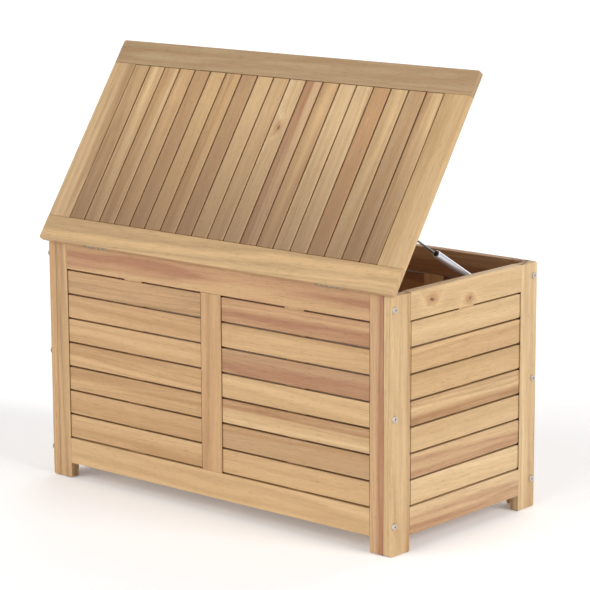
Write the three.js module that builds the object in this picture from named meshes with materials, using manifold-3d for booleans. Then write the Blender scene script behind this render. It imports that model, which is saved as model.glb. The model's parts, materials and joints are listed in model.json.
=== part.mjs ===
// Slatted wooden storage box for a deck. Four frame-and-slat walls stand on their corner legs round
// a boarded floor, and a slatted lid turns on two butt hinges and is held open by two gas struts.
// Millimetres, +Z up. The length runs along X, the hinge side faces -Y and the opening side +Y.
import * as THREE from "three";
import { mergeVertices } from "three/addons/utils/BufferGeometryUtils.js";
import Module from "manifold-3d";

const wasm = await Module();
wasm.setup();

// Box
const BODY_LENGTH = 975;
const BODY_DEPTH = 486;
const BODY_HEIGHT = 533.5;
const FOOT_HEIGHT = 34.5;
const FRAME_WIDTH = 57.5;
const FRAME_THICKNESS = 22;
const WALL_SLATS = 7;
const SLAT_THICKNESS = 12;
const SLAT_SETBACK = 3;
const SLAT_GAP = 3.8;
const TONGUE = 8;
const TONGUE_SHOULDER = 8;
const BATTEN_WIDTH = 51;
const BATTEN_THICKNESS = 10;
const BATTEN_BITE = 0.5;

// Floor
const FLOOR_BOARDS = 6;
const FLOOR_BOARD_THICKNESS = 12;
const FLOOR_GAP = 6;
const FLOOR_MARGIN = 2;
const FLOOR_LIFT = 4;
const BEARER_WIDTH = 38;
const BEARER_HEIGHT = 30;
const BEARER_SPACING = 330;

// Lid, with its angle when the struts are fully out
const LID_OVERHANG_ENDS = 12.5;
const LID_OVERHANG_SIDES = 7;
const LID_THICKNESS = 14;
const LID_STILE_WIDTH = 65;
const LID_SLATS = 19;
const LID_SLAT_GAP = 3.3;
const LID_SLAT_SETBACK = 0.5;
const LID_SLAT_THICKNESS = 10;
const LID_TONGUE_THICKNESS = 5;
const LID_BATTEN_THICKNESS = 10;
const OPEN_ANGLE = THREE.MathUtils.degToRad(56);

// Butt hinges
const HINGE_LENGTH = 70;
const HINGE_OFFSET = 331;
const LEAF_WIDTH = 20;
const LEAF_THICKNESS = 1.5;
const LEAF_CLEARANCE = 0.4;
const KNUCKLE_RADIUS = 3;
const PIN_RADIUS = 1.5;

// Gas struts. Reach and drop place the lid stud from the hinge axis and the underside of the lid,
// inset and depth place the wall stud from the hinge side and the rim.
const STRUT_FROM_END = 44;
const STRUT_LID_REACH = 143.5;
const STRUT_LID_DROP = 14;
const STRUT_WALL_INSET = 360;
const STRUT_WALL_DEPTH = 43.5;
const CYLINDER_RADIUS = 7.5;
const CYLINDER_WALL = 1.5;
const CYLINDER_CAP = 8;
const ROD_RADIUS = 3;
const ROD_STUB = 24;
const PISTON_LENGTH = 8;
const SOCKET_RADIUS = 7;
const SOCKET_WIDTH = 12;
const NECK_RADIUS = 4;
const NECK_LENGTH = 12;
const STUD_RADIUS = 3;
const BRACKET_THICKNESS = 2;
const BRACKET_WIDTH = 28;
const BRACKET_HEIGHT = 24;
const LID_BRACKET_DEPTH = 20;

// Corner screws
const SCREW_HEAD_RADIUS = 7;
const SCREW_HEAD_HEIGHT = 2.6;
const SCREW_SHANK_RADIUS = 2.5;
const SCREW_LENGTH = 45;
const SCREW_INSETS = { rear: 7, front: 13 };
const SCREW_RECESS_WIDTH = 4;
const SCREW_RECESS_DEPTH = 1.3;

const GAP = 0.3;
const EDGE_RADIUS = 2.5;
const EDGE_SEGMENTS = 1;
const ROUND_SEGMENTS = 12;

// Heights and widths that follow from the driving dimensions
const bottomRailTop = FOOT_HEIGHT + FRAME_WIDTH;
const topRailBottom = BODY_HEIGHT - FRAME_WIDTH;
const bottomRailMiddle = FOOT_HEIGHT + FRAME_WIDTH / 2;
const topRailMiddle = BODY_HEIGHT - FRAME_WIDTH / 2;
const slatPitch = (topRailBottom - bottomRailTop) / WALL_SLATS;
const innerDepth = BODY_DEPTH - 2 * FRAME_THICKNESS;
const innerLength = BODY_LENGTH - 2 * FRAME_THICKNESS;
const tongueMiddle = SLAT_SETBACK + SLAT_THICKNESS / 2;
const grooveWidth = SLAT_THICKNESS + 2 * GAP;
const screwHeights = [bottomRailMiddle, (bottomRailMiddle + topRailMiddle) / 2, topRailMiddle];

const hingeAxisHeight = BODY_HEIGHT + GAP + LEAF_THICKNESS + LEAF_CLEARANCE / 2;
const hingeStandoff = KNUCKLE_RADIUS + 0.5;
const lidUnderside = LEAF_CLEARANCE / 2 + GAP;
const lidLength = BODY_LENGTH + 2 * LID_OVERHANG_ENDS;
const lidDepth = BODY_DEPTH + 2 * LID_OVERHANG_SIDES;
const lidRear = hingeStandoff - LID_OVERHANG_SIDES;

const colours = {
  frame: { color: 0xcfa878, roughness: 0.62, metalness: 0 },
  slat: { color: 0xc39668, roughness: 0.62, metalness: 0 },
  zinc: { color: 0xb9b7b0, roughness: 0.35, metalness: 1 },
  cylinder: { color: 0xc4c7d2, roughness: 0.3, metalness: 0.6 },
  rod: { color: 0x1d1d20, roughness: 0.25, metalness: 0.8 },
};

// A closed three.js geometry as a solid that can be joined and cut
function solid(geometry) {
  const bare = geometry.clone();
  bare.deleteAttribute("normal");
  bare.deleteAttribute("uv");
  const merged = mergeVertices(bare, 1e-4);
  const mesh = new wasm.Mesh({
    numProp: 3,
    vertProperties: new Float32Array(merged.attributes.position.array),
    triVerts: new Uint32Array(merged.index.array),
  });
  return new wasm.Manifold(mesh);
}

function addPart(group, name, shape, finish) {
  const mesh = shape.getMesh();
  const geometry = new THREE.BufferGeometry();
  geometry.setAttribute("position", new THREE.BufferAttribute(mesh.vertProperties, 3));
  geometry.setIndex(new THREE.BufferAttribute(mesh.triVerts, 1));
  geometry.computeVertexNormals();
  const part = new THREE.Mesh(geometry, new THREE.MeshStandardMaterial(colours[finish]));
  part.name = name;
  group.add(part);
  return part;
}

function addGroup(parent, x, y, z) {
  const group = new THREE.Group();
  group.position.set(x, y, z);
  parent.add(group);
  return group;
}

// A planed board, centred on the origin, with its four long edges rounded. The grain axis is the
// one that the rounded edges follow.
function board(grain, sizeX, sizeY, sizeZ, radius = EDGE_RADIUS) {
  const sections = { x: [sizeY, sizeZ, sizeX], y: [sizeZ, sizeX, sizeY], z: [sizeX, sizeY, sizeZ] };
  const [width, height, length] = sections[grain];
  const right = width / 2 - radius;
  const top = height / 2 - radius;
  const outline = new THREE.Shape();
  outline.absarc(right, top, radius, 0, Math.PI / 2);
  outline.absarc(-right, top, radius, Math.PI / 2, Math.PI);
  outline.absarc(-right, -top, radius, Math.PI, 1.5 * Math.PI);
  outline.absarc(right, -top, radius, 1.5 * Math.PI, 2 * Math.PI);
  const options = { depth: length, bevelEnabled: false, curveSegments: EDGE_SEGMENTS };
  const geometry = new THREE.ExtrudeGeometry(outline, options);
  geometry.translate(0, 0, -length / 2);
  const [alongX, alongY, alongZ] = [0, 1, 2].map((axis) => new THREE.Vector3().setComponent(axis, 1));
  const bases = { x: [alongY, alongZ, alongX], y: [alongZ, alongX, alongY], z: [alongX, alongY, alongZ] };
  geometry.applyMatrix4(new THREE.Matrix4().makeBasis(...bases[grain]));
  return solid(geometry);
}

function block(sizeX, sizeY, sizeZ) {
  return solid(new THREE.BoxGeometry(sizeX, sizeY, sizeZ));
}

// A block given by its lowest and highest corner
function blockBetween([x0, y0, z0], [x1, y1, z1]) {
  return block(x1 - x0, y1 - y0, z1 - z0).translate([(x0 + x1) / 2, (y0 + y1) / 2, (z0 + z1) / 2]);
}

// A round bar along X from one end to the other
function roundBar(radius, fromX, toX) {
  const geometry = new THREE.CylinderGeometry(radius, radius, toX - fromX, ROUND_SEGMENTS);
  geometry.rotateZ(Math.PI / 2);
  return solid(geometry).translate([(fromX + toX) / 2, 0, 0]);
}

// A turned piece along Z from its closed profile of [radius, height] points
function turned(profile) {
  const points = profile.map(([radius, height]) => new THREE.Vector2(radius, height));
  const geometry = new THREE.LatheGeometry(points, ROUND_SEGMENTS);
  geometry.rotateX(Math.PI / 2);
  return solid(geometry);
}

// Every wall is built lying along its own X, with its outer face at y = 0 and its inside towards +Y.
// A rail has a tongue at each end, of the slats' thickness, for the groove of the upright. Its
// mortise for a centre stile is in its top edge (1), its bottom edge (-1) or left out (0).
function rail(length, mortisedEdge) {
  const tongueHeight = FRAME_WIDTH - 2 * TONGUE_SHOULDER;
  const tongue = block(length + 2 * TONGUE, SLAT_THICKNESS, tongueHeight).translate([0, tongueMiddle, 0]);
  const bar = board("x", length, FRAME_THICKNESS, FRAME_WIDTH).translate([0, FRAME_THICKNESS / 2, 0]);
  const joined = bar.add(tongue);
  if (mortisedEdge === 0) {
    return joined;
  }
  const mortise = block(tongueHeight + 2 * GAP, grooveWidth, 2 * (TONGUE + GAP));
  return joined.subtract(mortise.translate([0, tongueMiddle, (mortisedEdge * FRAME_WIDTH) / 2]));
}

// The groove along an upright's inner edge stops short of both ends
function groove(edgeX) {
  const low = [edgeX - TONGUE - GAP, tongueMiddle - grooveWidth / 2, FOOT_HEIGHT + TONGUE_SHOULDER - GAP];
  const high = [edgeX + TONGUE + GAP, tongueMiddle + grooveWidth / 2, BODY_HEIGHT - TONGUE_SHOULDER + GAP];
  return blockBetween(low, high);
}

function upright(width, middleX, grooveX) {
  const bar = board("z", width, FRAME_THICKNESS, BODY_HEIGHT);
  return bar.translate([middleX, FRAME_THICKNESS / 2, BODY_HEIGHT / 2]).subtract(groove(grooveX));
}

// The stile in the middle of a long wall stands between the rails with a tongue into each
function centreStile() {
  const height = topRailBottom - bottomRailTop - 2 * GAP;
  const bar = board("z", FRAME_WIDTH, FRAME_THICKNESS, height).translate([0, FRAME_THICKNESS / 2, 0]);
  const tongue = block(FRAME_WIDTH - 2 * TONGUE_SHOULDER, SLAT_THICKNESS, height + 2 * TONGUE);
  const middle = (topRailBottom + bottomRailTop) / 2;
  const joined = bar.add(tongue.translate([0, tongueMiddle, 0])).translate([0, 0, middle]);
  return joined.subtract(groove(-FRAME_WIDTH / 2)).subtract(groove(FRAME_WIDTH / 2));
}

// One bay of slats, their ends in the grooves, held level by a batten across their backs
function slatBay(bayLength, middleX) {
  const slatHeight = slatPitch - SLAT_GAP;
  const battenHeight = topRailBottom - bottomRailTop - SLAT_GAP;
  const battenMiddle = (topRailBottom + bottomRailTop) / 2;
  const battenFront = SLAT_SETBACK + SLAT_THICKNESS - BATTEN_BITE;
  const battenDepth = BATTEN_THICKNESS + BATTEN_BITE;
  let bay = board("z", BATTEN_WIDTH, battenDepth, battenHeight, BATTEN_BITE);
  bay = bay.translate([0, battenFront + battenDepth / 2, battenMiddle]);
  for (let row = 0; row < WALL_SLATS; row += 1) {
    const height = bottomRailTop + (row + 0.5) * slatPitch;
    const slat = board("x", bayLength + 2 * TONGUE, SLAT_THICKNESS, slatHeight);
    bay = bay.add(slat.translate([0, tongueMiddle, height]));
  }
  return bay.translate([middleX, 0, 0]);
}

// Holes along X into a long wall's corner post, or along Y through an end wall's leg
function postHoles(endX, inset) {
  const reach = SCREW_LENGTH - FRAME_THICKNESS + 1;
  return screwHeights.map((height) => {
    const hole = roundBar(SCREW_SHANK_RADIUS + GAP, -reach, reach);
    return hole.translate([endX, inset, height]);
  });
}

function legHoles(x) {
  return screwHeights.map((height) => {
    const hole = roundBar(SCREW_SHANK_RADIUS + GAP, -FRAME_THICKNESS, FRAME_THICKNESS);
    return hole.rotate([0, 0, 90]).translate([x, FRAME_THICKNESS / 2, height]);
  });
}

function cutAll(shape, cutters) {
  return cutters.reduce((cut, cutter) => cut.subtract(cutter), shape);
}

// Names of the two sides are given from the wall's own -X to its +X
function addLongWall(box, wall, sides, y, turn) {
  const group = addGroup(box, 0, y, 0);
  group.rotation.z = turn;
  const postWidth = FRAME_WIDTH - FRAME_THICKNESS - GAP;
  const wallEnd = innerLength / 2 - GAP;
  const clearHalf = wallEnd - postWidth;
  const railLength = 2 * (clearHalf - GAP);
  addPart(group, `${wall}_bottom_rail`, rail(railLength, 1).translate([0, 0, bottomRailMiddle]), "frame");
  addPart(group, `${wall}_top_rail`, rail(railLength, -1).translate([0, 0, topRailMiddle]), "frame");
  addPart(group, `${wall}_centre_stile`, centreStile(), "frame");
  const bayLength = clearHalf - FRAME_WIDTH / 2;
  sides.forEach((side, index) => {
    const sign = index === 0 ? -1 : 1;
    const post = upright(postWidth, sign * (clearHalf + postWidth / 2), sign * clearHalf);
    const holes = postHoles(sign * wallEnd, SCREW_INSETS[wall]);
    addPart(group, `${wall}_${side}_post`, cutAll(post, holes), "frame");
    const bayMiddle = (sign * (clearHalf + FRAME_WIDTH / 2)) / 2;
    addPart(group, `${wall}_${side}_slats`, slatBay(bayLength, bayMiddle), "slat");
  });
}

function addEndWall(box, wall, sides, x, turn) {
  const group = addGroup(box, x, 0, 0);
  group.rotation.z = turn;
  const clearHalf = BODY_DEPTH / 2 - FRAME_WIDTH;
  const railLength = 2 * (clearHalf - GAP);
  addPart(group, `${wall}_bottom_rail`, rail(railLength, 0).translate([0, 0, bottomRailMiddle]), "frame");
  addPart(group, `${wall}_top_rail`, rail(railLength, 0).translate([0, 0, topRailMiddle]), "frame");
  addPart(group, `${wall}_slats`, slatBay(2 * clearHalf, 0), "slat");
  sides.forEach((side, index) => {
    const sign = index === 0 ? -1 : 1;
    const screwX = sign * (BODY_DEPTH / 2 - SCREW_INSETS[side]);
    const leg = upright(FRAME_WIDTH, sign * (clearHalf + FRAME_WIDTH / 2), sign * clearHalf);
    addPart(group, `${wall}_${side}_leg`, cutAll(leg, legHoles(screwX)), "frame");
    ["low", "middle", "high"].forEach((level, row) => {
      const screw = addPart(group, `${wall}_${side}_screw_${level}`, cornerScrew(), "zinc");
      screw.position.set(screwX, -GAP, screwHeights[row]);
    });
  });
}

// A pan-head screw along +Y with the underside of its head at y = 0 and a square drive recess
function cornerScrew() {
  const headEdge = SCREW_HEAD_RADIUS * 0.8;
  const shape = turned([
    [0, -SCREW_HEAD_HEIGHT],
    [headEdge, -SCREW_HEAD_HEIGHT],
    [SCREW_HEAD_RADIUS, -SCREW_HEAD_HEIGHT / 2],
    [SCREW_HEAD_RADIUS, 0],
    [SCREW_SHANK_RADIUS, 0],
    [SCREW_SHANK_RADIUS, SCREW_LENGTH - SCREW_SHANK_RADIUS * 2],
    [0, SCREW_LENGTH],
  ]);
  const recess = block(SCREW_RECESS_WIDTH, SCREW_RECESS_WIDTH, 2 * SCREW_RECESS_DEPTH);
  return shape.subtract(recess.translate([0, 0, -SCREW_HEAD_HEIGHT])).rotate([-90, 0, 0]);
}

// Boards lie on three bearers between the long walls, and two straps between the bearers tie them
// into one panel.
function addFloor(box) {
  const bearerBottom = FOOT_HEIGHT + FLOOR_LIFT;
  const boardBottom = bearerBottom + BEARER_HEIGHT + GAP;
  const bearerNames = ["left", "middle", "right"];
  bearerNames.forEach((name, index) => {
    const bearer = board("y", BEARER_WIDTH, innerDepth - 2 * GAP, BEARER_HEIGHT);
    const x = (index - 1) * BEARER_SPACING;
    addPart(box, `floor_${name}_bearer`, bearer.translate([x, 0, bearerBottom + BEARER_HEIGHT / 2]), "frame");
  });
  const usableDepth = innerDepth - 2 * FLOOR_MARGIN;
  const boardDepth = (usableDepth - (FLOOR_BOARDS - 1) * FLOOR_GAP) / FLOOR_BOARDS;
  const strapX = BEARER_SPACING / 2;
  let floor = null;
  for (let row = 0; row < FLOOR_BOARDS; row += 1) {
    const y = -usableDepth / 2 + boardDepth / 2 + row * (boardDepth + FLOOR_GAP);
    const plank = board("x", innerLength - 2 * FLOOR_MARGIN, boardDepth, FLOOR_BOARD_THICKNESS);
    const placed = plank.translate([0, y, boardBottom + FLOOR_BOARD_THICKNESS / 2]);
    floor = floor ? floor.add(placed) : placed;
  }
  for (const side of [-1, 1]) {
    const strap = block(BEARER_WIDTH, usableDepth - boardDepth, FLOOR_BOARD_THICKNESS);
    floor = floor.add(strap.translate([side * strapX, 0, boardBottom]));
  }
  addPart(box, "floor_boards", floor, "slat");
}

// The lid is built shut, from its hinge axis at the origin, and its group is then turned open
function addLidFrame(lid) {
  const frameMiddle = lidUnderside + LID_THICKNESS / 2;
  const grooveReach = TONGUE + GAP;
  const stileLength = lidDepth - 2 * FRAME_WIDTH - 2 * GAP;
  const lidMiddle = lidRear + lidDepth / 2;
  for (const [name, side] of [["rear", -1], ["front", 1]]) {
    const y = lidMiddle + (side * (lidDepth - FRAME_WIDTH)) / 2;
    const innerEdge = lidMiddle + side * (lidDepth / 2 - FRAME_WIDTH);
    const bar = board("x", lidLength, FRAME_WIDTH, LID_THICKNESS).translate([0, y, frameMiddle]);
    const slot = block(lidLength - LID_STILE_WIDTH, 2 * grooveReach, LID_TONGUE_THICKNESS + 2 * GAP);
    const grooved = bar.subtract(slot.translate([0, innerEdge, frameMiddle]));
    addPart(lid, `lid_${name}_rail`, side < 0 ? cutAll(grooved, hingeRecesses()) : grooved, "frame");
  }
  for (const [name, side] of [["left", -1], ["right", 1]]) {
    const x = (side * (lidLength - LID_STILE_WIDTH)) / 2;
    const bar = board("y", LID_STILE_WIDTH, stileLength, LID_THICKNESS);
    const tongueWidth = LID_STILE_WIDTH / 2 - TONGUE_SHOULDER;
    const tongue = block(tongueWidth, stileLength + 2 * TONGUE, LID_TONGUE_THICKNESS);
    const tongueX = (-side * (LID_STILE_WIDTH - tongueWidth)) / 2;
    const joined = bar.add(tongue.translate([tongueX, 0, 0]));
    addPart(lid, `lid_${name}_stile`, joined.translate([x, lidMiddle, frameMiddle]), "frame");
  }
}

// Slats run from rail to rail on their tongues, with one batten screwed along their undersides
function addLidSlats(lid) {
  const frameMiddle = lidUnderside + LID_THICKNESS / 2;
  const lidMiddle = lidRear + lidDepth / 2;
  const pitch = (lidLength - 2 * LID_STILE_WIDTH) / LID_SLATS;
  const bodyLength = lidDepth - 2 * FRAME_WIDTH - 2 * GAP;
  const top = lidUnderside + LID_THICKNESS - LID_SLAT_SETBACK;
  const battenTop = top - LID_SLAT_THICKNESS + BATTEN_BITE;
  const battenHeight = LID_BATTEN_THICKNESS + BATTEN_BITE;
  const battenLength = lidLength - 2 * LID_STILE_WIDTH - 2 * LID_SLAT_GAP;
  const batten = board("x", battenLength, BATTEN_WIDTH, battenHeight, BATTEN_BITE);
  let slats = batten.translate([0, lidMiddle, battenTop - battenHeight / 2]);
  for (let column = 0; column < LID_SLATS; column += 1) {
    const x = (column - (LID_SLATS - 1) / 2) * pitch;
    const width = pitch - LID_SLAT_GAP;
    const body = board("y", width, bodyLength, LID_SLAT_THICKNESS);
    const tongue = block(width - 2 * EDGE_RADIUS, bodyLength + 2 * TONGUE, LID_TONGUE_THICKNESS);
    slats = slats.add(body.translate([x, lidMiddle, top - LID_SLAT_THICKNESS / 2]));
    slats = slats.add(tongue.translate([x, lidMiddle, frameMiddle]));
  }
  addPart(lid, "lid_slats", slats, "slat");
}

// Under each hinge the lid's rear rail is cut for the leaf, and deeper along the edge for the knuckles
function hingeRecesses() {
  const half = HINGE_LENGTH / 2 + 2 * GAP;
  const behind = lidRear - 1;
  const leafTop = LEAF_CLEARANCE / 2 + LEAF_THICKNESS + GAP;
  return [-1, 1].flatMap((side) => {
    const x = side * HINGE_OFFSET;
    const leafCut = blockBetween([x - half, behind, -1], [x + half, LEAF_WIDTH + GAP, leafTop]);
    const knuckleCut = blockBetween([x - half, behind, -1], [x + half, hingeStandoff, hingeStandoff]);
    return [leafCut, knuckleCut];
  });
}

// A leaf lies along +Y from the hinge axis, above it (side 1, on the lid) or below it (side -1)
function hingeLeaf(side, knuckles) {
  const inner = (side * LEAF_CLEARANCE) / 2;
  const outer = side * (LEAF_CLEARANCE / 2 + LEAF_THICKNESS);
  const [low, high] = [Math.min(inner, outer), Math.max(inner, outer)];
  const half = HINGE_LENGTH / 2;
  let leaf = blockBetween([-half, hingeStandoff, low], [half, LEAF_WIDTH, high]);
  for (const [from, to] of knuckles) {
    leaf = leaf.add(blockBetween([from, 0, low], [to, hingeStandoff + 1, high]));
    leaf = leaf.add(roundBar(KNUCKLE_RADIUS, from, to));
  }
  return leaf.subtract(roundBar(PIN_RADIUS + GAP, -half - 1, half + 1));
}

function addHinges(fixed, lid) {
  const half = HINGE_LENGTH / 2;
  const third = HINGE_LENGTH / 6;
  for (const [name, side] of [["left", -1], ["right", 1]]) {
    const x = side * HINGE_OFFSET;
    const outerKnuckles = [[-half, -third - GAP], [third + GAP, half]];
    const boxLeaf = hingeLeaf(-1, outerKnuckles).translate([x, 0, 0]);
    const lidLeaf = hingeLeaf(1, [[-third, third]]).translate([x, 0, 0]);
    addPart(fixed, `${name}_hinge_box_leaf`, boxLeaf, "zinc");
    addPart(lid, `${name}_hinge_lid_leaf`, lidLeaf, "zinc");
    addPart(fixed, `${name}_hinge_pin`, roundBar(PIN_RADIUS, x - half, x + half), "zinc");
  }
}

// Where the studs are, as [y, z] from the hinge axis, with the lid shut and open
const wallStud = [
  hingeStandoff + STRUT_WALL_INSET,
  BODY_HEIGHT - STRUT_WALL_DEPTH - hingeAxisHeight,
];
const lidStudShut = [STRUT_LID_REACH, lidUnderside - STRUT_LID_DROP];
const lidStudOpen = new THREE.Vector2(...lidStudShut).rotateAround(new THREE.Vector2(), OPEN_ANGLE);
const strutOpen = lidStudOpen.clone().sub(new THREE.Vector2(...wallStud));
const strutShut = new THREE.Vector2(...lidStudShut).sub(new THREE.Vector2(...wallStud));
const stroke = strutOpen.length() - strutShut.length();
const cylinderTop = strutShut.length() - SOCKET_RADIUS - ROD_STUB;
const boreRadius = CYLINDER_RADIUS - CYLINDER_WALL;

// A strut is built along +Z from its wall stud. The end socket is bored where the stud turns in it.
function strutSocket(bored) {
  const cup = roundBar(SOCKET_RADIUS, -SOCKET_WIDTH / 2, SOCKET_WIDTH / 2);
  const bore = roundBar(STUD_RADIUS + GAP, -SOCKET_WIDTH / 4, SOCKET_WIDTH);
  return bored ? cup.subtract(bore) : cup;
}

function strutCylinder(outwards) {
  const bottom = NECK_LENGTH + CYLINDER_CAP;
  const shoulder = CYLINDER_WALL;
  const tube = turned([
    [0, NECK_LENGTH],
    [CYLINDER_RADIUS - shoulder, NECK_LENGTH],
    [CYLINDER_RADIUS, NECK_LENGTH + shoulder],
    [CYLINDER_RADIUS, cylinderTop - shoulder],
    [CYLINDER_RADIUS - shoulder, cylinderTop],
    [ROD_RADIUS + GAP, cylinderTop],
    [ROD_RADIUS + GAP, cylinderTop - CYLINDER_CAP],
    [boreRadius, cylinderTop - CYLINDER_CAP],
    [boreRadius, bottom],
    [0, bottom],
  ]);
  const neck = turned([
    [0, SOCKET_RADIUS / 2],
    [NECK_RADIUS, SOCKET_RADIUS / 2],
    [NECK_RADIUS, NECK_LENGTH + 1],
    [0, NECK_LENGTH + 1],
  ]);
  const socket = strutSocket(true);
  return tube.add(neck.subtract(roundBar(STUD_RADIUS + GAP, -SOCKET_RADIUS, SOCKET_RADIUS)))
    .add(outwards > 0 ? socket : socket.rotate([0, 0, 180]));
}

function strutRod() {
  const end = strutOpen.length();
  const pistonTop = cylinderTop - CYLINDER_CAP - 1;
  const rod = turned([
    [0, pistonTop - PISTON_LENGTH],
    [boreRadius - GAP, pistonTop - PISTON_LENGTH],
    [boreRadius - GAP, pistonTop],
    [ROD_RADIUS, pistonTop],
    [ROD_RADIUS, end - NECK_LENGTH],
    [NECK_RADIUS, end - NECK_LENGTH],
    [NECK_RADIUS, end - SOCKET_RADIUS / 2],
    [0, end - SOCKET_RADIUS / 2],
  ]);
  return rod.add(strutSocket(false).translate([0, 0, end]));
}

// The wall bracket is a plate on the end wall with a stud that reaches into the strut's socket
function wallBracket(side) {
  const plateOuter = STRUT_FROM_END - FRAME_THICKNESS - GAP;
  const plateInner = plateOuter - BRACKET_THICKNESS;
  const low = [plateInner, -BRACKET_WIDTH / 2, -BRACKET_HEIGHT / 2];
  const plate = blockBetween(low, [plateOuter, BRACKET_WIDTH / 2, BRACKET_HEIGHT / 2]);
  const bracket = plate.add(roundBar(STUD_RADIUS, GAP - SOCKET_WIDTH / 4, plateInner + 1));
  return side > 0 ? bracket : bracket.rotate([0, 0, 180]);
}

// The lid bracket is an angle under the stile. Its stud stops just short of the rod's socket, which
// is where the strut's loop is left open.
function lidBracket(side) {
  const earInner = SOCKET_WIDTH;
  const earOuter = earInner + BRACKET_THICKNESS;
  const top = STRUT_LID_DROP - GAP;
  const flange = blockBetween(
    [earOuter - LID_BRACKET_DEPTH, -BRACKET_WIDTH / 2, top - BRACKET_THICKNESS],
    [earOuter, BRACKET_WIDTH / 2, top],
  );
  const ear = blockBetween([earInner, -SOCKET_RADIUS, -SOCKET_RADIUS], [earOuter, SOCKET_RADIUS, top]);
  const stud = roundBar(STUD_RADIUS, SOCKET_WIDTH / 2 + GAP, earInner + 1);
  const bracket = flange.add(ear).add(stud);
  return side > 0 ? bracket : bracket.rotate([0, 0, 180]);
}

function addStruts(fixed, lid) {
  for (const [name, side] of [["left", -1], ["right", 1]]) {
    const x = side * (BODY_LENGTH / 2 - STRUT_FROM_END);
    const strut = addGroup(fixed, x, wallStud[0], wallStud[1]);
    addPart(strut, `${name}_strut_wall_bracket`, wallBracket(side), "zinc");
    const along = addGroup(strut, 0, 0, 0);
    along.rotation.x = Math.atan2(-strutOpen.x, strutOpen.y);
    addPart(along, `${name}_strut_cylinder`, strutCylinder(side), "cylinder");
    addPart(along, `${name}_strut_rod`, strutRod(), "rod");
    const stud = addGroup(lid, x, lidStudShut[0], lidStudShut[1]);
    addPart(stud, `${name}_strut_lid_bracket`, lidBracket(side), "zinc");
  }
}

const group = new THREE.Group();
const box = addGroup(group, 0, 0, 0);
addLongWall(box, "rear", ["left", "right"], -BODY_DEPTH / 2, 0);
addLongWall(box, "front", ["right", "left"], BODY_DEPTH / 2, Math.PI);
addEndWall(box, "right_end", ["rear", "front"], BODY_LENGTH / 2, Math.PI / 2);
addEndWall(box, "left_end", ["front", "rear"], -BODY_LENGTH / 2, -Math.PI / 2);
addFloor(box);

const hingeAxis = addGroup(group, 0, -BODY_DEPTH / 2 - hingeStandoff, hingeAxisHeight);
const lid = addGroup(hingeAxis, 0, 0, 0);
lid.rotation.x = OPEN_ANGLE;
addLidFrame(lid);
addLidSlats(lid);
addHinges(hingeAxis, lid);
addStruts(hingeAxis, lid);

// The origin is on the ground under the middle of the whole object as it stands open
group.updateMatrixWorld(true);
const extent = new THREE.Box3().setFromObject(group, true);
group.position.y = -(extent.min.y + extent.max.y) / 2;

export default group;
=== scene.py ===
# Slatted acacia storage box for a deck, its lid held open on two gas struts. The sections follow the
# box as it is put together: walls, floor, lid, hinges, struts and screws. Metres, +Z up, length along X.
import json
import math
import random

import bmesh
import bpy
from mathutils import Matrix, Vector


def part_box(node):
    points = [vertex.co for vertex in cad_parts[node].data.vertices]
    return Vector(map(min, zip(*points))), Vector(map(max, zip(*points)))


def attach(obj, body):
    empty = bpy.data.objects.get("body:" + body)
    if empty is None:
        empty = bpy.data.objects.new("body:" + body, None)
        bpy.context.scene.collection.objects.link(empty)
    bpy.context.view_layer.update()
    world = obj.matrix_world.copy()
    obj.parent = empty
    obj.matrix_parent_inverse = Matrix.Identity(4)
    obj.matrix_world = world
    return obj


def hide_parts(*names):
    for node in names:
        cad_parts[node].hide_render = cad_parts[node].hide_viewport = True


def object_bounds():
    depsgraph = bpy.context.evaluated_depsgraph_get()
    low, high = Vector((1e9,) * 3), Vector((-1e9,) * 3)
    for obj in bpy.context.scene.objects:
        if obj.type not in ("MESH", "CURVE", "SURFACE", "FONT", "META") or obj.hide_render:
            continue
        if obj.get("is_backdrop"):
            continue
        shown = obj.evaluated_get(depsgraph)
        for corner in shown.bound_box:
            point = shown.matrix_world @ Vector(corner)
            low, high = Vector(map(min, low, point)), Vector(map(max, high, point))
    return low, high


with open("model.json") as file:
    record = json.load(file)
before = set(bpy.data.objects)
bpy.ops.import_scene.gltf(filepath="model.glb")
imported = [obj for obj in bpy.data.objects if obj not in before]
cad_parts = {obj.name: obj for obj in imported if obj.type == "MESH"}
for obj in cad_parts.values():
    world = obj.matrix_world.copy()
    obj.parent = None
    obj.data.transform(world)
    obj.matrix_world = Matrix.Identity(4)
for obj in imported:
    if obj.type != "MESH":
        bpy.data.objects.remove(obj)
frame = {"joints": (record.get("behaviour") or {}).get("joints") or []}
cad_low, cad_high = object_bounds()
bpy.ops.object.select_all(action="DESELECT")


# ---------------------------------------------------------------------------------------------
# Camera. It stands off the right-hand end of the hinge side, a little above the open lid, on a long lens,
# and leans a quarter of a degree.
CAMERA_PLACE = (3.43995, -3.9157, 1.4977)
CAMERA_TURN, CAMERA_DIP, CAMERA_LEAN = 41.0505, 11.5097, -0.2543
camera_data = bpy.data.cameras.new("Camera")
camera_data.sensor_width = 36.0
camera_data.lens = 150.24
camera_data.clip_start = 0.05
camera_data.clip_end = 200.0
camera = bpy.data.objects.new("Camera", camera_data)
bpy.context.scene.collection.objects.link(camera)
camera.matrix_world = (
    Matrix.Translation(CAMERA_PLACE)
    @ Matrix.Rotation(math.radians(CAMERA_TURN), 4, "Z")
    @ Matrix.Rotation(math.radians(90.0 - CAMERA_DIP), 4, "X")
    @ Matrix.Rotation(math.radians(CAMERA_LEAN), 4, "Z")
)
bpy.context.scene.camera = camera


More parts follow.
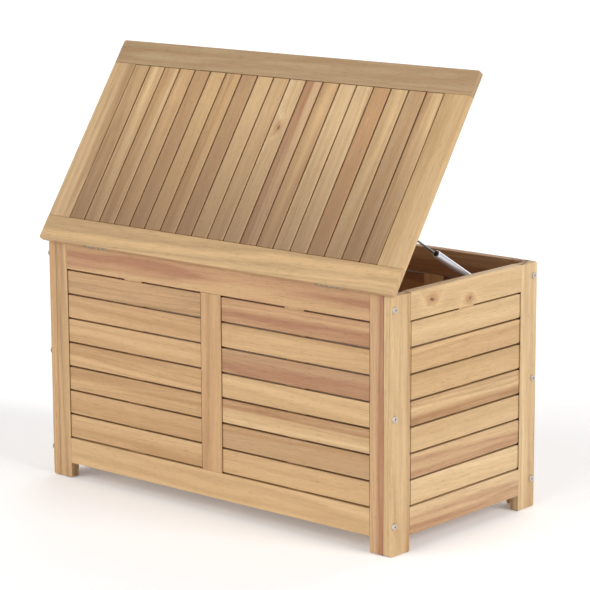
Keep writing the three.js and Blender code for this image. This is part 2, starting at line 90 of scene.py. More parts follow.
# ---------------------------------------------------------------------------------------------
# Studio. A wide white floor that glows a little, as a light table does, a dim white surround, a soft key
# light far round to the right, a wide fill from the hinge side and a weaker one from the front.
def to_linear(hex_colour):
    """A colour written as sRGB hex, as the linear RGBA that shaders use."""
    channels = [int(hex_colour[i : i + 2], 16) / 255 for i in (1, 3, 5)]
    return [c / 12.92 if c <= 0.04045 else ((c + 0.055) / 1.055) ** 2.4 for c in channels] + [1.0]


def add_node(tree, kind, settings=None, **links):
    """Adds one node. Settings name its properties, or its inputs by number or name. Links join sockets to its
    inputs, named or numbered as i0, i1 and so on."""
    made = tree.nodes.new("ShaderNode" + kind)
    for key, value in (settings or {}).items():
        if isinstance(key, int) or key in made.inputs:
            made.inputs[key].default_value = value
        else:
            setattr(made, key, value)
    for key, socket in links.items():
        spot = int(key[1:]) if key[0] == "i" and key[1:].isdigit() else key.replace("_", " ")
        tree.links.new(socket, made.inputs[spot])
    return made


def new_material(name):
    """An empty node material with its output node."""
    material = bpy.data.materials.new(name)
    material.use_nodes = True
    material.node_tree.nodes.clear()
    return material, material.node_tree, add_node(material.node_tree, "OutputMaterial")


STUDIO_FLOOR_SIZE = 90.0
bpy.ops.mesh.primitive_plane_add(size=STUDIO_FLOOR_SIZE, location=(0, 0, cad_low.z - 0.0005))
studio_floor = bpy.context.object
studio_floor.name = "studio_floor"
studio_floor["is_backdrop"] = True
floor_paint, tree, output = new_material("Matt white studio paint")
paint = add_node(tree, "BsdfPrincipled", {"Base Color": to_linear("#F8F8F7"), "Roughness": 0.95,
                 "Emission Color": to_linear("#FFFFFF"), "Emission Strength": 0.16})
tree.links.new(paint.outputs["BSDF"], output.inputs["Surface"])
studio_floor.data.materials.append(floor_paint)

surround = bpy.data.worlds.new("Studio surround")
surround.use_nodes = True
surround.node_tree.nodes["Background"].inputs["Color"].default_value = to_linear("#FBFBFF")
surround.node_tree.nodes["Background"].inputs["Strength"].default_value = 0.36
bpy.context.scene.world = surround

for name, energy, spread, colour, way in (
    ("Key", 1.81, 30, "#FFFDFC", (0.87, 0.10, 0.48)),
    ("Fill", 1.91, 60, "#FFFEFD", (-0.26, -0.88, 0.40)),
    ("Back", 1.10, 60, "#FFFEFD", (-0.25, 0.84, 0.48)),
):
    lamp = bpy.data.lights.new(name, "SUN")
    lamp.energy = energy
    lamp.angle = math.radians(spread)
    lamp.color = to_linear(colour)[:3]
    light = bpy.data.objects.new(name, lamp)
    light.rotation_euler = Vector(way).to_track_quat("Z", "Y").to_euler()
    bpy.context.scene.collection.objects.link(light)
bpy.context.scene.view_settings.view_transform = "Standard"


# ---------------------------------------------------------------------------------------------
# Hinge-side wall, frame. Planed and oiled acacia boards, 22 mm thick: two rails between narrow
# corner posts, and a stile in the middle. Long edges are eased, ends are butted and dowelled.
EASE = 0.0012
OUTER_EASE = 0.0030
END_EASE = 0.0004

# Acacia is sawn from pale sapwood to russet heartwood, so every board has its own tone and its own
# vein, the darker colour of its growth rings
TONES = {
    "cream": ("#DABD91", "#C09F73"),
    "straw": ("#D2B285", "#B79568"),
    "honey": ("#CDAA7C", "#B28C60"),
    "wheat": ("#C7A376", "#AB8459"),
    "tan": ("#C19B70", "#A37A52"),
    "rose": ("#C29770", "#A27454"),
    "russet": ("#B78B66", "#936746"),
    "umber": ("#B7966F", "#94734F"),
    "ash": ("#AE9470", "#8E7451"),
}
log = random.Random(11)
HEART_BLEND = 0.010
KNOT_STRETCH = 1.6
FAR_AWAY = (30.0, 30.0, 0)


def start_block(name, low, high):
    """A sawn block between two corners, its place in its mesh."""
    bpy.ops.object.select_all(action="DESELECT")
    low, high = Vector(low), Vector(high)
    bpy.ops.mesh.primitive_cube_add(size=1, location=(low + high) / 2, scale=high - low)
    piece = bpy.context.object
    piece.name = piece.data.name = name
    bpy.ops.object.transform_apply(location=True, rotation=True, scale=True)
    return piece


def shape(piece, kind, wanted, tool, **settings):
    """Uses an edit-mode tool on the faces or edges whose middle and direction are wanted."""
    bpy.ops.object.select_all(action="DESELECT")
    piece.select_set(True)
    bpy.context.view_layer.objects.active = piece
    bpy.ops.object.mode_set(mode="EDIT")
    bpy.ops.mesh.select_mode(type=kind)
    bpy.ops.mesh.select_all(action="DESELECT")
    mesh = bmesh.from_edit_mesh(piece.data)
    if kind == "FACE":
        for face in mesh.faces:
            face.select_set(bool(wanted(face.calc_center_median(), face.normal)))
    else:
        for edge in mesh.edges:
            one, two = (v.co for v in edge.verts)
            edge.select_set(bool(wanted((one + two) / 2, (two - one).normalized())))
    mesh.select_flush_mode()
    bmesh.update_edit_mesh(piece.data)
    tool(**settings)
    bpy.ops.object.mode_set(mode="OBJECT")


def round_edges(piece, wanted, radius, steps):
    """Rounds the edges whose middle and direction are wanted."""
    shape(piece, "EDGE", wanted, bpy.ops.mesh.bevel, offset=radius, segments=steps)


def board(name, low, high, grain, ease=EASE, end_ease=END_EASE, outer=()):
    """A planed board: its long edges eased, its ends barely. Edges that lie on an outer side, given as
    (axis, value), get the wider rounding of the box's own corners."""
    piece = start_block(name, low, high)
    reach = (high[grain] - low[grain]) / 2
    middle = (high[grain] + low[grain]) / 2

    def is_outer(at):
        return all(abs(at[axis] - value) < 1e-4 for axis, value in outer)

    if outer:
        round_edges(piece, lambda at, way: abs(way[grain]) > 0.9 and is_outer(at), OUTER_EASE, 4)
    round_edges(piece, lambda at, way: abs(way[grain]) > 0.9 and any(
        min(abs(at[a] - low[a]), abs(at[a] - high[a])) < 1e-5
        and min(abs(at[b] - low[b]), abs(at[b] - high[b])) < 1e-5
        for a, b in [[axis for axis in range(3) if axis != grain]]),
                ease, 3)
    round_edges(piece, lambda at, way: abs(abs(at[grain] - middle) - reach) < 1e-5, end_ease, 2)
    return piece


def cut(piece, *tools):
    """Takes each tool's shape out of a piece, and puts the tool away."""
    for tool in tools:
        trim = piece.modifiers.new("cut", "BOOLEAN")
        trim.operation = "DIFFERENCE"
        trim.solver = "EXACT"
        trim.object = tool
        bpy.ops.object.select_all(action="DESELECT")
        bpy.context.view_layer.objects.active = piece
        bpy.ops.object.modifier_apply(modifier=trim.name)
        bpy.data.objects.remove(tool)


def copy_of(piece, name, place):
    """A copy with its own mesh, its place in the mesh."""
    twin = piece.copy()
    twin.data = piece.data.copy()
    twin.name = twin.data.name = name
    bpy.context.scene.collection.objects.link(twin)
    twin.data.transform(place)
    return twin


def smooth(piece):
    """Smooth shading across the rounded edges and flat shading elsewhere."""
    bpy.ops.object.select_all(action="DESELECT")
    piece.select_set(True)
    bpy.context.view_layer.objects.active = piece
    bpy.ops.object.shade_smooth_by_angle(angle=math.radians(35))


def paint_layer(mesh, name, kind, field, values):
    """Writes one value for each vertex of a mesh as a named layer that the wood's material reads."""
    mesh.attributes.new(name, kind, "POINT")
    mesh.attributes[name].data.foreach_set(field, [number for value in values for number in value])


def season(piece, grain, out, tone, vein, heart=None, knots=None, amount=1.0, painted_shade=0.0):
    """Gives a board its own place in the tree. Grain and out are the axes it runs along and faces. Heart is
    (place across, +1 or -1): from there on towards +across or -across the board is heartwood. Knots are up to
    two (along, across, radius) from the board's middle. Amount is how much of the vein shows."""
    mesh = piece.data
    co = [v.co.copy() for v in mesh.vertices]
    middle = [(min(c[i] for c in co) + max(c[i] for c in co)) / 2 for i in range(3)]
    across = 3 - grain - out
    pith = (log.uniform(-0.035, 0.035), -log.uniform(0.03, 0.10))
    drift = log.uniform(-0.03, 0.03)
    start = log.uniform(0.0, 40.0)
    places = [[c[axis] - middle[axis] for axis in (grain, across, out)] for c in co]
    paint_layer(mesh, "grain", "FLOAT_VECTOR", "vector",
                [(u + start, v - pith[0] + drift * u, w - pith[1]) for u, v, w in places])
    paint_layer(mesh, "heart", "FLOAT", "value",
                [((v - heart[0]) * heart[1] / HEART_BLEND if heart else -9.0,) for u, v, w in places])
    for layer, spot in zip(("knot", "second_knot"), (knots or []) + [None, None]):
        paint_layer(mesh, layer, "FLOAT_VECTOR", "vector",
                    [((u - spot[0]) / (KNOT_STRETCH * spot[2]), (v - spot[1]) / spot[2], 0)
                     if spot else FAR_AWAY for u, v, w in places])
    # The tone layer's fourth number says how much painted shade darkens the board's narrow sides
    paint_layer(mesh, "tone", "FLOAT_COLOR", "color", [to_linear(TONES[tone][0])[:3] + [painted_shade]] * len(co))
    paint_layer(mesh, "vein", "FLOAT_COLOR", "color", [to_linear(TONES[vein][1])[:3] + [amount]] * len(co))
    for layer, direction in (("axis", grain), ("width", across)):
        unit = [float(i == direction) for i in range(3)]
        paint_layer(mesh, layer, "FLOAT_VECTOR", "vector", [unit] * len(co))


# Planed acacia under a thin oil: long soft streaks where the saw ran along the rings, fine fibres,
# short open pores, now and then a knot that the rings flow round. The oil gives a low satin gloss.
acacia, tree, output = new_material("Acacia planed and oiled")
tone, vein, heart = (
    add_node(tree, "Attribute", {"attribute_name": layer}) for layer in ("tone", "vein", "heart")
)
grain, knot, second_knot, axis, width = (
    add_node(tree, "Attribute", {"attribute_name": layer}).outputs["Vector"]
    for layer in ("grain", "knot", "second_knot", "axis", "width")
)

# Figure 55 mm across and 0.5 m long bends the rings; rings 22 mm and 5 mm apart are the streaks
long_grain = add_node(tree, "VectorMath", {"operation": "MULTIPLY", 1: (0.10, 1, 1)}, i0=grain).outputs[0]
wander = add_node(tree, "TexNoise", {"Scale": 18.0, "Detail": 2.0}, Vector=long_grain).outputs["Color"]
wander = add_node(tree, "VectorMath", {"operation": "SUBTRACT", 1: (0.5, 0.5, 0.5)}, i0=wander).outputs[0]
wander = add_node(tree, "VectorMath", {"operation": "SCALE", "Scale": 0.022}, i0=wander).outputs[0]
bent = add_node(tree, "VectorMath", {"operation": "ADD"}, i0=long_grain, i1=wander).outputs[0]
ring_place = add_node(tree, "VectorMath", {"operation": "MULTIPLY", 1: (0.02, 1, 1)}, i0=bent).outputs[0]
ring_radius = add_node(tree, "VectorMath", {"operation": "LENGTH"}, i0=ring_place).outputs["Value"]

knot_distance = add_node(tree, "VectorMath", {"operation": "LENGTH"}, i0=knot).outputs["Value"]
second_distance = add_node(tree, "VectorMath", {"operation": "LENGTH"}, i0=second_knot).outputs["Value"]
knot_distance = add_node(tree, "Math", {"operation": "MINIMUM"}, i0=knot_distance,
                         i1=second_distance).outputs[0]
knot_wobble = add_node(tree, "TexNoise", {"Scale": 150.0, "Detail": 2.0}, Vector=grain).outputs["Fac"]
knot_distance = add_node(tree, "Math", {"operation": "MULTIPLY_ADD", 1: 1.3}, i0=knot_wobble,
                         i2=knot_distance).outputs[0]
swell = add_node(tree, "MapRange", {"From Min": 0.6, "From Max": 5.0, "To Min": 0.010, "To Max": 0.0,
                 "interpolation_type": "SMOOTHERSTEP"}, Value=knot_distance).outputs[0]
ring_radius = add_node(tree, "Math", {"operation": "ADD"}, i0=ring_radius, i1=swell).outputs[0]

broad = add_node(tree, "TexNoise", {"noise_dimensions": "1D", "Scale": 45.0, "Detail": 1.0},
                 W=ring_radius).outputs["Fac"]
narrow = add_node(tree, "TexNoise", {"noise_dimensions": "1D", "Scale": 190.0, "Detail": 2.0},
                  W=ring_radius).outputs["Fac"]
streak_place = add_node(tree, "VectorMath", {"operation": "MULTIPLY", 1: (0.04, 1, 1)}, i0=grain).outputs[0]
streaks = add_node(tree, "TexNoise", {"Scale": 95.0, "Detail": 3.0, "Roughness": 0.55},
                   Vector=streak_place).outputs["Fac"]
heart_edge = add_node(tree, "Math", {"operation": "MULTIPLY_ADD", 1: 3.0, 2: -1.5}, i0=broad).outputs[0]
heart_edge = add_node(tree, "Math", {"operation": "ADD"}, i0=heart.outputs["Fac"], i1=heart_edge).outputs[0]
heart_share = add_node(tree, "MapRange", {"From Min": -0.6, "From Max": 0.6, "To Max": 0.42,
                       "interpolation_type": "SMOOTHSTEP"}, Value=heart_edge).outputs[0]
figure = add_node(tree, "Math", {"operation": "MULTIPLY_ADD", 1: 0.70, 2: -1.02}, i0=broad).outputs[0]
figure = add_node(tree, "Math", {"operation": "MULTIPLY_ADD", 1: 1.20}, i0=narrow, i2=figure).outputs[0]
figure = add_node(tree, "Math", {"operation": "MULTIPLY_ADD", 1: 0.90}, i0=streaks, i2=figure).outputs[0]
figure = add_node(tree, "Math", {"operation": "ADD"}, i0=figure, i1=heart_share).outputs[0]
figure = add_node(tree, "Math", {"operation": "MULTIPLY", "use_clamp": True}, i0=figure,
                  i1=vein.outputs["Alpha"]).outputs[0]
colour = add_node(tree, "Mix", {"data_type": "RGBA"}, i0=figure, i6=tone.outputs["Color"],
                  i7=vein.outputs["Color"]).outputs[2]

# Fibres 1.4 mm apart, and pores drawn 0.9 mm wide and 20 mm long, coarser than life so that they show
fibre_place = add_node(tree, "VectorMath", {"operation": "MULTIPLY", 1: (0.025, 1, 1)}, i0=grain).outputs[0]
fibres = add_node(tree, "TexNoise", {"Scale": 700.0, "Detail": 3.0, "Roughness": 0.6},
                  Vector=fibre_place).outputs["Fac"]
pore_place = add_node(tree, "VectorMath", {"operation": "MULTIPLY", 1: (0.045, 1, 1)}, i0=grain).outputs[0]
pores = add_node(tree, "TexNoise", {"Scale": 1100.0, "Detail": 1.0}, Vector=pore_place).outputs["Fac"]
pores = add_node(tree, "MapRange", {"From Min": 0.60, "From Max": 0.72}, Value=pores).outputs[0]
shade = add_node(tree, "MapRange", {"From Min": 0.25, "From Max": 0.75, "To Min": 1.11, "To Max": 0.89},
                 Value=fibres).outputs[0]
shade = add_node(tree, "Math", {"operation": "MULTIPLY_ADD", 1: -0.28}, i0=pores, i2=shade).outputs[0]
colour = add_node(tree, "VectorMath", {"operation": "SCALE"}, i0=colour, Scale=shade).outputs[0]

# A knot is a dark brown core in a ring of tighter, redder wood
knot_ring = add_node(tree, "MapRange", {"From Min": 1.1, "From Max": 2.8, "To Min": 0.58, "To Max": 0.0,
                     "interpolation_type": "SMOOTHSTEP"}, Value=knot_distance).outputs[0]
colour = add_node(tree, "Mix", {"data_type": "RGBA", 7: to_linear("#A37148")}, i0=knot_ring,
                  i6=colour).outputs[2]
knot_core = add_node(tree, "MapRange", {"From Min": 0.7, "From Max": 1.25, "To Min": 0.85, "To Max": 0.0,
                     "interpolation_type": "SMOOTHSTEP"}, Value=knot_distance).outputs[0]
colour = add_node(tree, "Mix", {"data_type": "RGBA", 7: to_linear("#5F3E26")}, i0=knot_core,
                  i6=colour).outputs[2]

# End grain drinks more oil and dries greyer and darker than the faces
facing = add_node(tree, "TexCoord").outputs["Normal"]
end_grain = add_node(tree, "VectorMath", {"operation": "DOT_PRODUCT"}, i0=facing, i1=axis).outputs["Value"]
end_grain = add_node(tree, "Math", {"operation": "ABSOLUTE"}, i0=end_grain).outputs[0]
end_grain = add_node(tree, "MapRange", {"From Min": 0.75, "From Max": 0.97, "To Max": 0.30},
                     Value=end_grain).outputs[0]
colour = add_node(tree, "Mix", {"data_type": "RGBA", 7: to_linear("#B39470")}, i0=end_grain,
                  i6=colour).outputs[2]

# Painted shade: the narrow sides of slats and of the lid's rails, and the shouldered ends of slats, are
# darkened towards dark brown as though the shade in the gaps between parts lay on them
side_face = add_node(tree, "VectorMath", {"operation": "DOT_PRODUCT"}, i0=facing, i1=width).outputs["Value"]
side_face = add_node(tree, "Math", {"operation": "ABSOLUTE"}, i0=side_face).outputs[0]
side_face = add_node(tree, "MapRange", {"From Min": 0.80, "From Max": 0.98}, Value=side_face).outputs[0]
slat_end = add_node(tree, "MapRange", {"From Min": 0.25, "From Max": 0.35, "To Max": 2.5},
                    Value=tone.outputs["Alpha"]).outputs[0]
slat_end = add_node(tree, "Math", {"operation": "MULTIPLY"}, i0=end_grain, i1=slat_end).outputs[0]
side_face = add_node(tree, "Math", {"operation": "MULTIPLY_ADD", "use_clamp": True}, i0=side_face,
                     i1=tone.outputs["Alpha"], i2=slat_end).outputs[0]
colour = add_node(tree, "Mix", {"data_type": "RGBA", 7: to_linear("#5C3A20")}, i0=side_face,
                  i6=colour).outputs[2]

relief = add_node(tree, "Math", {"operation": "MULTIPLY_ADD", 1: -0.8}, i0=pores, i2=fibres).outputs[0]
bump = add_node(tree, "Bump", {"Strength": 0.30, "Distance": 0.0003}, Height=relief).outputs["Normal"]
gloss = add_node(tree, "MapRange", {"From Min": 0.3, "From Max": 0.7, "To Min": 0.50, "To Max": 0.64},
                 Value=fibres).outputs[0]
wood = add_node(tree, "BsdfPrincipled", {"IOR": 1.46, "Specular IOR Level": 0.42}, Base_Color=colour,
                Roughness=gloss, Normal=bump)
tree.links.new(wood.outputs["BSDF"], output.inputs["Surface"])


def finish_board(piece, body, slot, *nodes):
    """Oils a finished board and hangs it on its body in place of its CAD nodes."""
    smooth(piece)
    piece.data.materials.clear()
    piece.data.materials.append(acacia)
    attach(piece, body)
    if nodes:
        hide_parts(*nodes)


X, Y, Z = 0, 1, 2
RAIL_HEIGHT = 0.0575
JOINT = 0.0003
GROOVE_DEPTH = 0.0083
GROOVE_LIP = 0.0012
GROOVE_BACK = 0.0153
GROOVE_OVERRUN = 0.002
POST_END_EASE = 0.0035
SLAT_BACK = 0.015

wall_low, wall_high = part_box("rear_bottom_rail")[0].z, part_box("rear_top_rail")[1].z
rails_in = (wall_low + RAIL_HEIGHT, wall_high - RAIL_HEIGHT)
clear_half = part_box("rear_right_post")[0].x
stile_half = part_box("rear_centre_stile")[1].x

# Tone, vein and heart of the bottom rail, top rail, stile, left post and right post. The rear wall
# carries the hinges, and the front wall, opposite, is made like it.
LONG_WALLS = {
    "rear": [("honey", "straw", None), ("tan", "rose", (-0.004, 1)), ("tan", "tan", None),
             ("wheat", "umber", (-0.004, -1)), ("straw", "rose", (0.004, 1))],
    # The front wall's top rail has darker umber and russet tones as painted shade, for its inner face that
    # lies in shade inside the open box
    "front": [("wheat", "tan", None), ("umber", "russet", (0.006, -1)), ("tan", "umber", None),
              ("tan", "russet", None), ("rose", "umber", None)],
}
for wall, looks in LONG_WALLS.items():
    post_low, post_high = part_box(f"{wall}_left_post")
    inward = 1 if wall == "rear" else -1
    y0, y1 = post_low.y, post_high.y
    outer_y = y0 if inward > 0 else y1
    groove = sorted((outer_y + inward * GROOVE_LIP, outer_y + inward * GROOVE_BACK))
    rail_x = clear_half - JOINT
    stile = (rails_in[0] + JOINT, rails_in[1] - JOINT)
    pieces = [
        ("bottom_rail", (-rail_x, y0, wall_low), (rail_x, y1, rails_in[0]), X, ()),
        ("top_rail", (-rail_x, y0, rails_in[1]), (rail_x, y1, wall_high), X, ()),
        ("centre_stile", (-stile_half, y0, stile[0]), (stile_half, y1, stile[1]), Z,
         (-stile_half, stile_half)),
        ("left_post", (post_low.x, y0, 0), (-clear_half, y1, wall_high), Z, (-clear_half,)),
        ("right_post", (clear_half, y0, 0), (-post_low.x, y1, wall_high), Z, (clear_half,)),
    ]
    for (part, low, high, grain_axis, grooved_edges), look in zip(pieces, looks):
        end_ease = POST_END_EASE if "post" in part else END_EASE
        piece = board(f"{wall}_{part}_board", low, high, grain_axis, end_ease=end_ease)
        for x in grooved_edges:
            cut(piece, start_block("groove", (x - GROOVE_DEPTH, groove[0], rails_in[0] - GROOVE_OVERRUN),
                                   (x + GROOVE_DEPTH, groove[1], rails_in[1] + GROOVE_OVERRUN)))
        season(piece, grain_axis, Y, *look)
        finish_board(piece, "box", "frame_wood", f"{wall}_{part}")


# ---------------------------------------------------------------------------------------------
# Long-wall slats. Seven acacia slats to a bay, 51 mm wide and 13.5 mm thick, their ends reduced to a
# tongue that runs in the uprights' grooves. A batten screwed across the back keeps them level.
SLAT_THICKNESS = 0.0135
SLAT_SETBACK = 0.0015
SLAT_GAP = 0.0037
SLAT_SHADOW = {X: 0.0016, Y: 0.0044}
SLAT_EASE = 0.0014
SLAT_END_EASE = 0.0008
TONGUE_SHOULDER = 0.0006
TONGUE_PLAY = 0.0004
# How much painted shade darkens the slats' narrow sides and shouldered ends
GAP_PAINTED_SHADE = 0.35
WALL_SLATS = 7
BATTEN_HALF = 0.0255
BATTEN_THICKNESS = 0.010
BATTEN_END_EASE = 0.001
slat_height = (rails_in[1] - rails_in[0] - (WALL_SLATS + 1) * SLAT_GAP) / WALL_SLATS
slat_levels = [rails_in[0] + SLAT_GAP + row * (slat_height + SLAT_GAP) for row in range(WALL_SLATS)]
# The spacers lie deep in the gaps between slats, but close up the one under the top rail
SPACER_DEPTHS = [0.0070] * WALL_SLATS + [0.0010]
SPACER_PLAY = 0.0002
SPACER_EASE = 0.0006


def slat(name, low, high, reach_axis):
    """A slat between two corners, less a shadow line at each end, then its tongues."""
    low, high = Vector(low), Vector(high)
    low[reach_axis] += SLAT_SHADOW[reach_axis]
    high[reach_axis] -= SLAT_SHADOW[reach_axis]
    piece = board(name, low, high, reach_axis, ease=SLAT_EASE, end_ease=SLAT_END_EASE)

    def is_end(at, way):
        off_end = min(abs(at[reach_axis] - low[reach_axis]), abs(at[reach_axis] - high[reach_axis]))
        return abs(way[reach_axis]) > 0.99 and off_end < 1e-5

    shape(piece, "FACE", is_end, bpy.ops.mesh.inset, thickness=TONGUE_SHOULDER, depth=0)
    bpy.ops.object.mode_set(mode="EDIT")
    bpy.ops.mesh.inset(thickness=0, depth=SLAT_SHADOW[reach_axis] + GROOVE_DEPTH - TONGUE_PLAY)
    bpy.ops.object.mode_set(mode="OBJECT")
    return piece


def spaced_batten(name, low, high, out, sign):
    """A batten behind a column of slats. Out is the axis it is screwed along, and sign the way to the
    outside. Small spacers glued to it fill the slats' gaps, set back from their faces."""
    batten = board(name, low, high, Z, end_ease=BATTEN_END_EASE)
    face = high[out] if sign > 0 else low[out]
    gaps = [level - SLAT_GAP for level in slat_levels] + [slat_levels[-1] + slat_height]
    spacers = []
    for number, (level, depth) in enumerate(zip(gaps, SPACER_DEPTHS)):
        corner, reach = Vector(low), Vector(high)
        corner.z, reach.z = level + SPACER_PLAY, level + SLAT_GAP - SPACER_PLAY
        corner[out], reach[out] = sorted((face + sign * 0.0001, face + sign * (SLAT_THICKNESS - depth)))
        spacers.append(start_block(f"spacer_{number}", corner, reach))
        round_edges(spacers[-1], lambda at, way: abs(way.z) > 0.9, SPACER_EASE, 2)
    bpy.ops.object.select_all(action="DESELECT")
    for piece in (*spacers, batten):
        piece.select_set(True)
    bpy.context.view_layer.objects.active = batten
    bpy.ops.object.join()
    return batten


# Tones of each bay from the bottom slat up
BAY_TONES = {
    "rear_left": [
        ("honey", "honey", (0.004, -1)), ("tan", "honey", (0.006, -1)), ("wheat", "wheat", (-0.002, 1)),
        ("wheat", "wheat", (0.002, 1)), ("wheat", "honey", None), ("tan", "wheat", None),
        ("tan", "umber", None),
    ],
    "rear_right": [
        ("honey", "honey", None), ("umber", "wheat", (0.012, 1)), ("straw", "tan", (0.008, 1)),
        ("honey", "straw", None), ("umber", "rose", (0.0, -1)), ("honey", "wheat", (0.014, 1)),
        ("tan", "rose", (0.004, -1)),
    ],
    "front_left": [
        ("wheat", "tan", None), ("honey", "rose", (0.01, 1)), ("rose", "tan", None),
        ("straw", "wheat", None), ("tan", "rose", (-0.006, -1)), ("honey", "tan", None),
        ("umber", "tan", None),
    ],
    "front_right": [
        ("tan", "rose", (0.0, 1)), ("straw", "honey", None), ("tan", "umber", None),
        ("honey", "russet", (-0.008, -1)), ("rose", "umber", None), ("umber", "russet", None),
        ("rose", "russet", (0.006, 1)),
    ],
}


def fill_bay(bay, looks, along, span, face, inward):
    """Fits a bay's slats and the batten behind them. The slats run along an axis over a span. Face is where
    the wall's outer side lies, and inward is the way from it to the inside, +1 or -1."""
    out = 1 - along

    def corners(reach, start, depth, bottom, top):
        low, high = Vector((0, 0, bottom)), Vector((0, 0, top))
        low[along], high[along] = reach
        low[out], high[out] = sorted((face + inward * start, face + inward * (start + depth)))
        return low, high

    for row, (look, level) in enumerate(zip(looks, slat_levels)):
        low, high = corners(span, SLAT_SETBACK, SLAT_THICKNESS, level, level + slat_height)
        piece = slat(f"{bay}_slat_{row + 1}", low, high, along)
        season(piece, along, out, *look, painted_shade=GAP_PAINTED_SHADE)
        finish_board(piece, "box", "slat_wood", f"{bay}_slats")
    middle = sum(span) / 2
    low, high = corners((middle - BATTEN_HALF, middle + BATTEN_HALF), SLAT_BACK, BATTEN_THICKNESS,
                        rails_in[0] + JOINT, rails_in[1] - JOINT)
    batten = spaced_batten(f"{bay}_batten", low, high, out, -inward)
    season(batten, Z, out, "wheat", "tan")
    finish_board(batten, "box", "slat_wood", f"{bay}_slats")


for bay, looks in BAY_TONES.items():
    wall, side = bay.split("_")
    post_low, post_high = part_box(f"{wall}_left_post")
    face, inward = (post_low.y, 1) if wall == "rear" else (post_high.y, -1)
    span = (stile_half, clear_half) if side == "right" else (-clear_half, -stile_half)
    fill_bay(bay, looks, X, span, face, inward)


# ---------------------------------------------------------------------------------------------
# End walls. The same boards on edge round seven shorter slats, between two full-width legs whose
# feet carry the box. The legs overlap the long walls' posts, and their outer corners are rounded.
FOOT_EASE = 0.004
END_LOOKS = {
    "right": {
        "bottom_rail": ("cream", "rose", (0.012, -1), None),
        "top_rail": ("straw", "straw", None, [(-0.117, 0.004, 0.0095), (0.007, -0.014, 0.0080)]),
        "rear_leg": ("cream", "wheat", (0.018, 1), None),
        "front_leg": ("cream", "tan", None, None),
        "slats": [
            ("cream", "cream", None), ("straw", "rose", (-0.01, -1)), ("straw", "cream", (0.0, 1)),
            ("straw", "tan", (-0.008, -1)), ("honey", "straw", (0.012, 1)), ("honey", "honey", None),
            ("straw", "cream", None),
        ],
    },
    "left": {
        "bottom_rail": ("honey", "tan", None, None),
        "top_rail": ("wheat", "tan", None, None),
        "rear_leg": ("wheat", "tan", None, None),
        "front_leg": ("honey", "rose", (0.01, 1), None),
        "slats": [
            ("tan", "rose", None), ("honey", "tan", (0.01, -1)), ("straw", "wheat", None),
            ("wheat", "russet", (0.0, 1)), ("honey", "tan", None), ("tan", "tan", None),
            ("honey", "rose", (-0.01, -1)),
        ],
    },
}
for side, looks in END_LOOKS.items():
    rear_low, rear_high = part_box(f"{side}_end_rear_leg")
    front_low, front_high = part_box(f"{side}_end_front_leg")
    sign = 1 if side == "right" else -1
    x0, x1 = rear_low.x, rear_high.x
    outer_x = x1 if sign > 0 else x0
    groove = sorted((outer_x - sign * GROOVE_LIP, outer_x - sign * GROOVE_BACK))
    rail_y = (rear_high.y + JOINT, front_low.y - JOINT)
    pieces = [
        ("bottom_rail", (x0, rail_y[0], wall_low), (x1, rail_y[1], rails_in[0]), Y, None, ()),
        ("top_rail", (x0, rail_y[0], rails_in[1]), (x1, rail_y[1], wall_high), Y, None, ()),
        ("rear_leg", (x0, rear_low.y, 0), (x1, rear_high.y, wall_high), Z,
         rear_high.y, ((X, outer_x), (Y, rear_low.y))),
        ("front_leg", (x0, front_low.y, 0), (x1, front_high.y, wall_high), Z,
         front_low.y, ((X, outer_x), (Y, front_high.y))),
    ]
    for part, low, high, grain_axis, grooved_edge, corner in pieces:
        end_ease = FOOT_EASE if "leg" in part else END_EASE
        piece = board(f"{side}_end_{part}_board", low, high, grain_axis, end_ease=end_ease, outer=corner)
        if grooved_edge is not None:
            y = grooved_edge
            cut(piece, start_block("groove", (groove[0], y - GROOVE_DEPTH, rails_in[0] - GROOVE_OVERRUN),
                                   (groove[1], y + GROOVE_DEPTH, rails_in[1] + GROOVE_OVERRUN)))
        season(piece, grain_axis, X, *looks[part])
        finish_board(piece, "box", "frame_wood", f"{side}_end_{part}")
    fill_bay(f"{side}_end", looks["slats"], Y, (rear_high.y, front_low.y), outer_x, -sign)


# ---------------------------------------------------------------------------------------------
# Floor. Six boards lie with open gaps on three bearers, and two straps between the bearers tie
# them into one panel.
FLOOR_TONES = [("tan", "umber"), ("wheat", "tan"), ("umber", "tan"), ("honey", "tan"), ("tan", "russet"),
               ("wheat", "umber")]
FLOOR_GAP = 0.006
FLOOR_THICKNESS = 0.012
FLOOR_EASE = 0.0015
FLOOR_END_EASE = 0.001
STRAP_X = (-0.165, 0.165)
STRAP_HALF = 0.019
STRAP_THICKNESS = 0.0062
STRAP_PLAY = 0.0001
boards_low, boards_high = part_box("floor_boards")
board_top = boards_high.z
board_bottom = board_top - FLOOR_THICKNESS
spaces = len(FLOOR_TONES) - 1
board_width = (boards_high.y - boards_low.y - spaces * FLOOR_GAP) / (spaces + 1)
for row, look in enumerate(FLOOR_TONES):
    y = boards_low.y + row * (board_width + FLOOR_GAP)
    piece = board(f"floor_board_{row + 1}", (boards_low.x, y, board_bottom),
                  (boards_high.x, y + board_width, board_top), X, ease=FLOOR_EASE, end_ease=FLOOR_END_EASE)
    season(piece, X, Z, *look)
    finish_board(piece, "box", "floor_wood", "floor_boards")
for name in ("left", "middle", "right"):
    low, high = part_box(f"floor_{name}_bearer")
    piece = board(f"floor_{name}_bearer_board", low, high, Y, ease=FLOOR_EASE, end_ease=FLOOR_END_EASE)
    season(piece, Y, Z, "wheat", "tan")
    finish_board(piece, "box", "floor_wood", f"floor_{name}_bearer")
strap_top = board_bottom - STRAP_PLAY
for number, x in enumerate(STRAP_X):
    strap = board(f"floor_strap_{number + 1}",
                  (x - STRAP_HALF, boards_low.y + board_width / 2, strap_top - STRAP_THICKNESS),
                  (x + STRAP_HALF, boards_high.y - board_width / 2, strap_top), Y, end_ease=FLOOR_END_EASE)
    season(strap, Y, Z, "tan", "umber")
    finish_board(strap, "box", "floor_wood", "floor_boards")


